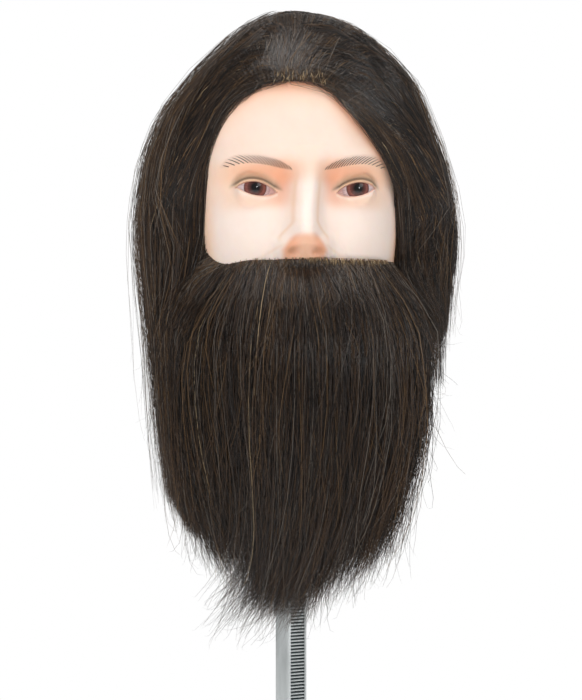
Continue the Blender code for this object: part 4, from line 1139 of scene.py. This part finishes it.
def make_beard_strands(materials):
    for name, count, top, spread, longest, lighter_and_sheen in (
        ("moustache_top", 2800, 0.000, 0.12, 1.0, 0.20), ("moustache_under", 2800, 0.004, 0.22, 1.0, 0.12),
        ("cheeks", 2800, 0.016, 0.35, 1.0, 0.60), ("chin", 2800, 0.050, 0.50, 1.0, 0.10),
        # Short light and grey strands over the moustache's top: painted sheen.
        ("moustache_sheen_short", 2800, 0.001, -0.14, 0.14, 1.6),
    ):
        turns, heights, fullness = beard_strands(count, top, spread, longest)
        grow(name, beard_paths(turns, heights, fullness), materials, lighter_and_sheen, 0.0066 * longest, 0.84)


# ---- masses under the strands
SEAM_Z = 0.0345  # height where the crown's mass meets those of the sides
MASS_INSIDE, MASS_OUTSIDE = 0.030, 0.0035  # how far in from the hair's outside they lie


def mass_material():
    """Dark hair seen between the strands: fine streaks that run down it."""
    made, tree, shader = new_material("hair_mass_look")
    streaks = noise(tree, 420.0, 4.0, 0.7, (1.0, 1.0, 0.06))
    colour = ramp_node(
        tree,
        streaks,
        (0.30, (0.0030, 0.0024, 0.0021)),
        (0.55, (0.0085, 0.0060, 0.0048)),
        (0.75, (0.022, 0.014, 0.009)),
    )
    fill(shader, Base_Color=colour, Roughness=0.5, Specular_IOR_Level=0.25)
    bump(tree, shader, streaks, 0.6, 0.0006)
    return made


def wall_mesh(name, node_name, material, turns, rows, inner, outer):
    """A closed curved wall between two surfaces. rows gives heights or falls per turn, and
    inner and outer give points for a turn and a row value."""
    grid_row = np.array([rows(turn) for turn in turns])
    grid_turn = np.repeat(turns[:, None], grid_row.shape[1], axis=1)
    sides = (outer(grid_turn, grid_row), inner(grid_turn, grid_row)[:, ::-1])
    outline = np.concatenate(sides, axis=1)
    count, around, _ = outline.shape
    faces = ring_faces(count, around)
    for start in (0, (count - 1) * around):
        for j in range(around // 2 - 1):
            faces.append((start + j, start + j + 1, start + around - 2 - j, start + around - 1 - j))
    piece = add_mesh(name, outline.reshape(-1, 3), faces, material)
    clean = bmesh.new()
    clean.from_mesh(piece.data)
    bmesh.ops.recalc_face_normals(clean, faces=clean.faces)
    clean.to_mesh(piece.data)
    clean.free()
    in_head(piece, "hair", node_name)


def make_hair_masses():
    look = mass_material()

    def under(turn, fall):
        return hair_place(turn, fall, MASS_INSIDE + 0 * turn)

    def over(turn, fall):
        return hair_place(turn, fall, MASS_OUTSIDE + 0.012 * ramp(fall, 1.2, 2.4))

    def crown_rows(turn):
        beside = past_face(wrapped(turn)) > radians(1)
        edge = SEAM_Z if beside else hairline(wrapped(turn)) + 0.0045
        return np.linspace(0.03, float(fall_of(edge)), 30)

    def side_rows(turn):
        end = from_table(HAIR_ENDS, wrapped(turn)) + 0.024
        return np.linspace(float(fall_of(SEAM_Z)), float(fall_of(end)), 40)

    def beard_rows(turn):
        return np.linspace(beard_line(turn) - 0.002, from_table(BEARD_ENDS, turn) + 0.030, 44)

    def beard_under(turn, z):
        return beard_place(turn, z, 0.02 + 0.45 * ramp(z, -0.10, -0.16))

    def beard_over(turn, z):
        return beard_place(turn, z, 0.88 - 0.12 * ramp(z, -0.15, -0.22))

    for name, node_name, low, high, count, *shape in (
        ("crown", "hair_crown", -180, 180, 181, crown_rows, under, over),
        ("hair_right", "hair_right", -121, -52, 40, side_rows, under, over),
        ("hair_left", "hair_left", 54, 121, 40, side_rows, under, over),
        ("hair_back", "hair_back", 122, 238, 40, side_rows, under, over),
        ("beard", "beard", -52, 51, 60, beard_rows, beard_under, beard_over),
    ):
        wall_mesh(f"mass_{name}", node_name, look, np.radians(np.linspace(low, high, count)), *shape)


# ---- clamp
THREAD_PITCH = 0.0025
THREAD_DEPTH = 0.0009
CROSS_HOLE = 0.0033  # radius of the hole for the handle
SCREW_CREST, SCREW_NECK, BALL_RADIUS = 0.0058, 0.0030, 0.0043
SCREW_CREASE = radians(32)  # edges sharper than this are drawn sharp
RACK_TIP, RACK_ROOT = 0.0004, 0.0014  # how far the teeth lie below the bar's face
RACK_HALF = 0.00505  # half the toothed strip's width
RACK_SLACK = 0.0003


def edge_wear(tree, radius):
    """Bright where the surface bends within radius, which is along its edges."""
    soft = node(tree, "ShaderNodeBevel", samples=6, Radius=radius)
    plain = tree.nodes.new("ShaderNodeNewGeometry")
    bend = dot(tree, soft.outputs["Normal"], plain.outputs["Normal"])
    return ramp_node(tree, bend, (0.86, WHITE), (0.97, BLACK))


def repaint(made, change):
    """Passes a material's base colour through change(tree, colour socket)."""
    tree = made.node_tree
    colour = tree.nodes["Principled BSDF"].inputs["Base Color"]
    tree.links.new(change(tree, colour.links[0].from_socket), colour)
    return made


def worn_edges(tree, colour):
    spots = ramp_node(tree, noise(tree, 300.0, 4.0, 0.6), (0.42, BLACK), (0.60, (0.7,) * 3))
    mask = blend_colours(tree, 1.0, edge_wear(tree, 0.0006), spots, "MULTIPLY")
    return blend_colours(tree, mask, colour, (0.42, 0.43, 0.44))


def painted_tooth_shade(bar):
    """Painted shade: darkens the bar's tooth gaps by how far they lie below its toothed face."""
    into_bar = bar.matrix_world.inverted()
    way = (into_bar.to_3x3() @ Vector((AXIS.x, AXIS.y, 0))).normalized()
    across = Vector((-way.y, way.x, 0))
    face = max(vert.co.dot(way) for vert in bar.data.vertices)
    centre = (into_bar @ Vector((AXIS.x, AXIS.y, 0))).dot(across)

    def change(tree, colour):
        place = own_place(tree)
        along = dot(tree, place, way)
        height = node(tree, "ShaderNodeMapRange", along, face - RACK_ROOT, face - RACK_TIP)
        beside = calculate(tree, "ABSOLUTE", calculate(tree, "SUBTRACT", dot(tree, place, across), centre))
        clear = calculate(
            tree,
            "MAXIMUM",
            calculate(tree, "GREATER_THAN", beside, RACK_HALF),
            calculate(tree, "LESS_THAN", along, face - RACK_ROOT - RACK_SLACK),
        )
        # Painted shade, darkest at the gaps' roots and none at the teeth's tips.
        greys = (0.0, (0.07, 0.085, 0.090)), (0.5, (0.20, 0.23, 0.24)), (0.95, WHITE)
        shade = ramp_node(tree, height.outputs["Result"], *greys)
        return blend_colours(tree, 1.0, colour, blend_colours(tree, clear, shade, WHITE), "MULTIPLY")

    return change


def dress_clamp():
    """Gives the CAD nodes of the clamp, the peg and the neck their materials."""
    zinc = dict(dark=(0.50, 0.53, 0.53), light=(0.68, 0.71, 0.71), rough=(0.26, 0.42), metallic=0.85)
    looks = {
        "zinc_steel": surface("zinc_look", **zinc, scale=110.0, grain=0.12, depth=0.0001),
        "grey_casting": repaint(
            surface("casting_look", (0.105, 0.110, 0.116), (0.150, 0.155, 0.162), (0.40, 0.58), 0.25, 240.0,
                    grain=0.5, depth=0.0004, fine=620.0),
            worn_edges,
        ),
        "black_nylon": surface("nylon_look", (0.018, 0.018, 0.020), (0.032, 0.032, 0.035), (0.36, 0.50),
                               grain=0.25, depth=0.0001, fine=1500.0),
        "rubber": surface("rubber_look", (0.020, 0.020, 0.020), (0.038, 0.037, 0.036), (0.74, 0.90),
                          grain=0.45, specular=0.3),
        "brass": surface("brass_look", (0.52, 0.36, 0.13), (0.72, 0.54, 0.23), (0.22, 0.42), 1.0, 90.0,
                         grain=0.15, depth=0.0001),
    }
    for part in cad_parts.values():
        for place in part.material_slots:
            base = place.material.name.split(".")[0]
            if base in looks:
                place.material = looks[base]
    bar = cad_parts["serrated_bar"]
    drawn = surface("bar_look", **zinc, scale=90.0, stretch=(1.0, 1.0, 0.25), grain=0.12, depth=0.0001)
    # The bar's tooth gaps get painted shade.
    bar.material_slots[0].material = repaint(drawn, painted_tooth_shade(bar))
    return looks


def screw_shape():
    """The clamp screw: its head, its real thread and, past the neck, its ball tip."""
    low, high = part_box("clamp_spindle")
    wide = (high.x - low.x) / 2
    head_top = 2 * middle("tommy_bar").z - low.z
    foot_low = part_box("swivel_foot")[0][2]
    ball = high.z - BALL_RADIUS
    thread_low, thread_high = head_top + 0.004, foot_low - 0.0075
    steps = int((thread_high - thread_low) / (THREAD_PITCH / 10))
    ball_turns = np.linspace(-np.arccos(SCREW_NECK / BALL_RADIUS), pi / 2, 14)[:-1]
    heights, plain = np.array((
        (low.z, wide / 2), (low.z, wide - 0.001), (low.z + 0.001, wide), (head_top - 0.001, wide),
        (head_top, wide - 0.001), (head_top, SCREW_CREST), (thread_low - 0.0005, SCREW_CREST),
        *((z, SCREW_CREST) for z in np.linspace(thread_low, thread_high, steps)),
        (foot_low - 0.0070, SCREW_CREST), (foot_low - 0.0062, SCREW_CREST - 0.0006),
        (foot_low - 0.0040, SCREW_NECK),
        *((ball + BALL_RADIUS * sin(turn), BALL_RADIUS * cos(turn)) for turn in ball_turns),
    ))[:, :, None].swapaxes(0, 1)
    angle = np.arange(56) * 2 * pi / 56
    wave = (heights / THREAD_PITCH - angle / (2 * pi)) % 1.0
    groove = np.clip(np.abs(wave - 0.5) * 4 - 0.55, 0, 1)
    cut = ramp(heights, thread_low, thread_low + 0.0015) * ramp(heights, thread_high, thread_high - 0.0015)
    radius = plain - THREAD_DEPTH * (1 - groove) * cut
    rings = stacked(radius * np.cos(angle), radius * np.sin(angle), heights)
    return turned_shape(rings, (0, 0, low.z), (0, 0, ball + BALL_RADIUS))


def drill(piece, place, way, radius):
    """Cuts a round hole along way through a piece, for good."""
    bm = bmesh.new()
    bmesh.ops.create_cone(bm, cap_ends=True, segments=40, radius1=radius, radius2=radius, depth=0.04)
    hole = add_bmesh("cross_hole", bm)
    hole.location = place
    hole.rotation_euler = way.to_track_quat("Z", "Y").to_euler()
    cut = piece.modifiers.new("cross_hole", "BOOLEAN")
    cut.operation = "DIFFERENCE"
    cut.solver = "EXACT"
    cut.object = hole
    bpy.context.view_layer.update()
    drilled = bpy.data.meshes.new_from_object(piece.evaluated_get(bpy.context.evaluated_depsgraph_get()))
    piece.modifiers.remove(cut)
    piece.data = drilled
    bpy.data.objects.remove(hole)
    drilled.shade_smooth()
    drilled.set_sharp_from_angle(angle=SCREW_CREASE)


def make_spindle(look):
    spindle = add_mesh("threaded_spindle", *screw_shape(), look, SCREW_CREASE)
    way = middle("tommy_cap_left") - middle("tommy_cap_right")
    drill(spindle, (0, 0, middle("tommy_bar").z), way, CROSS_HOLE)
    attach(spindle, "spindle")
    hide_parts("clamp_spindle")


def make_clamp():
    looks = dress_clamp()
    make_spindle(looks["zinc_steel"])


# ---- stage
def make_stage():
    bm = bmesh.new()
    bmesh.ops.create_circle(bm, cap_ends=True, segments=96, radius=1.3)
    floor = add_bmesh("floor", bm)
    floor.location = (AXIS.x, AXIS.y, cad_box[0][2] - 0.002)
    glow = dict(Emission_Color=(*WHITE, 1.0), Emission_Strength=0.6)
    made = new_material("floor_pale", Base_Color=(0.9, 0.9, 0.9, 1.0), Roughness=0.9, **glow)[0]
    floor.data.materials.append(made)
    world = bpy.data.worlds.new("studio")
    bpy.context.scene.world = world
    world.use_nodes = True
    tree = world.node_tree
    backdrop = tree.nodes["Background"]
    fill(backdrop, Color=(*WHITE, 1.0), Strength=1.0)
    fill_light = node(tree, "ShaderNodeBackground", Color=(*WHITE, 1.0), Strength=0.43)
    seen = tree.nodes.new("ShaderNodeLightPath").outputs["Is Camera Ray"]
    mix = node(tree, "ShaderNodeMixShader", seen, fill_light.outputs[0], backdrop.outputs[0])
    fill(tree.nodes["World Output"], Surface=mix.outputs[0])


def aimed(thing, place, way):
    """Puts a light or camera in its place, looking along way."""
    thing.location = place
    thing.rotation_euler = way.to_track_quat("-Z", "Y").to_euler()


def make_camera_and_lights():
    data = bpy.data.cameras.new("camera")
    data.sensor_fit = "HORIZONTAL"
    data.sensor_width = LENS_SENSOR
    data.lens = LENS
    camera = placed("camera", data)
    way = Vector((sin(CAMERA_AZIMUTH), -cos(CAMERA_AZIMUTH), 0))
    aimed(camera, ORIGIN - Vector((0, 0, CAMERA_DROP)) + way * CAMERA_AWAY, -way)
    bpy.context.scene.camera = camera
    for name, place, size, power, unseen in LIGHTS:
        data = bpy.data.lights.new(name, "AREA")
        data.shape = "DISK"
        data.size = size
        data.energy = power
        light = placed(name, data)
        aimed(light, ORIGIN + Vector(place), -Vector(place))
        if unseen:
            setattr(light, f"visible_{unseen}", False)
    bpy.context.scene.view_settings.view_transform = "Standard"


make_camera_and_lights()
make_stage()
make_head()
make_eyes()
make_hair_masses()
hair_materials = strand_materials()
make_hair_strands(hair_materials)
make_beard_strands(hair_materials)
make_flyaways(hair_materials)
make_knots(hair_materials)
make_brows(hair_materials)
make_clamp()
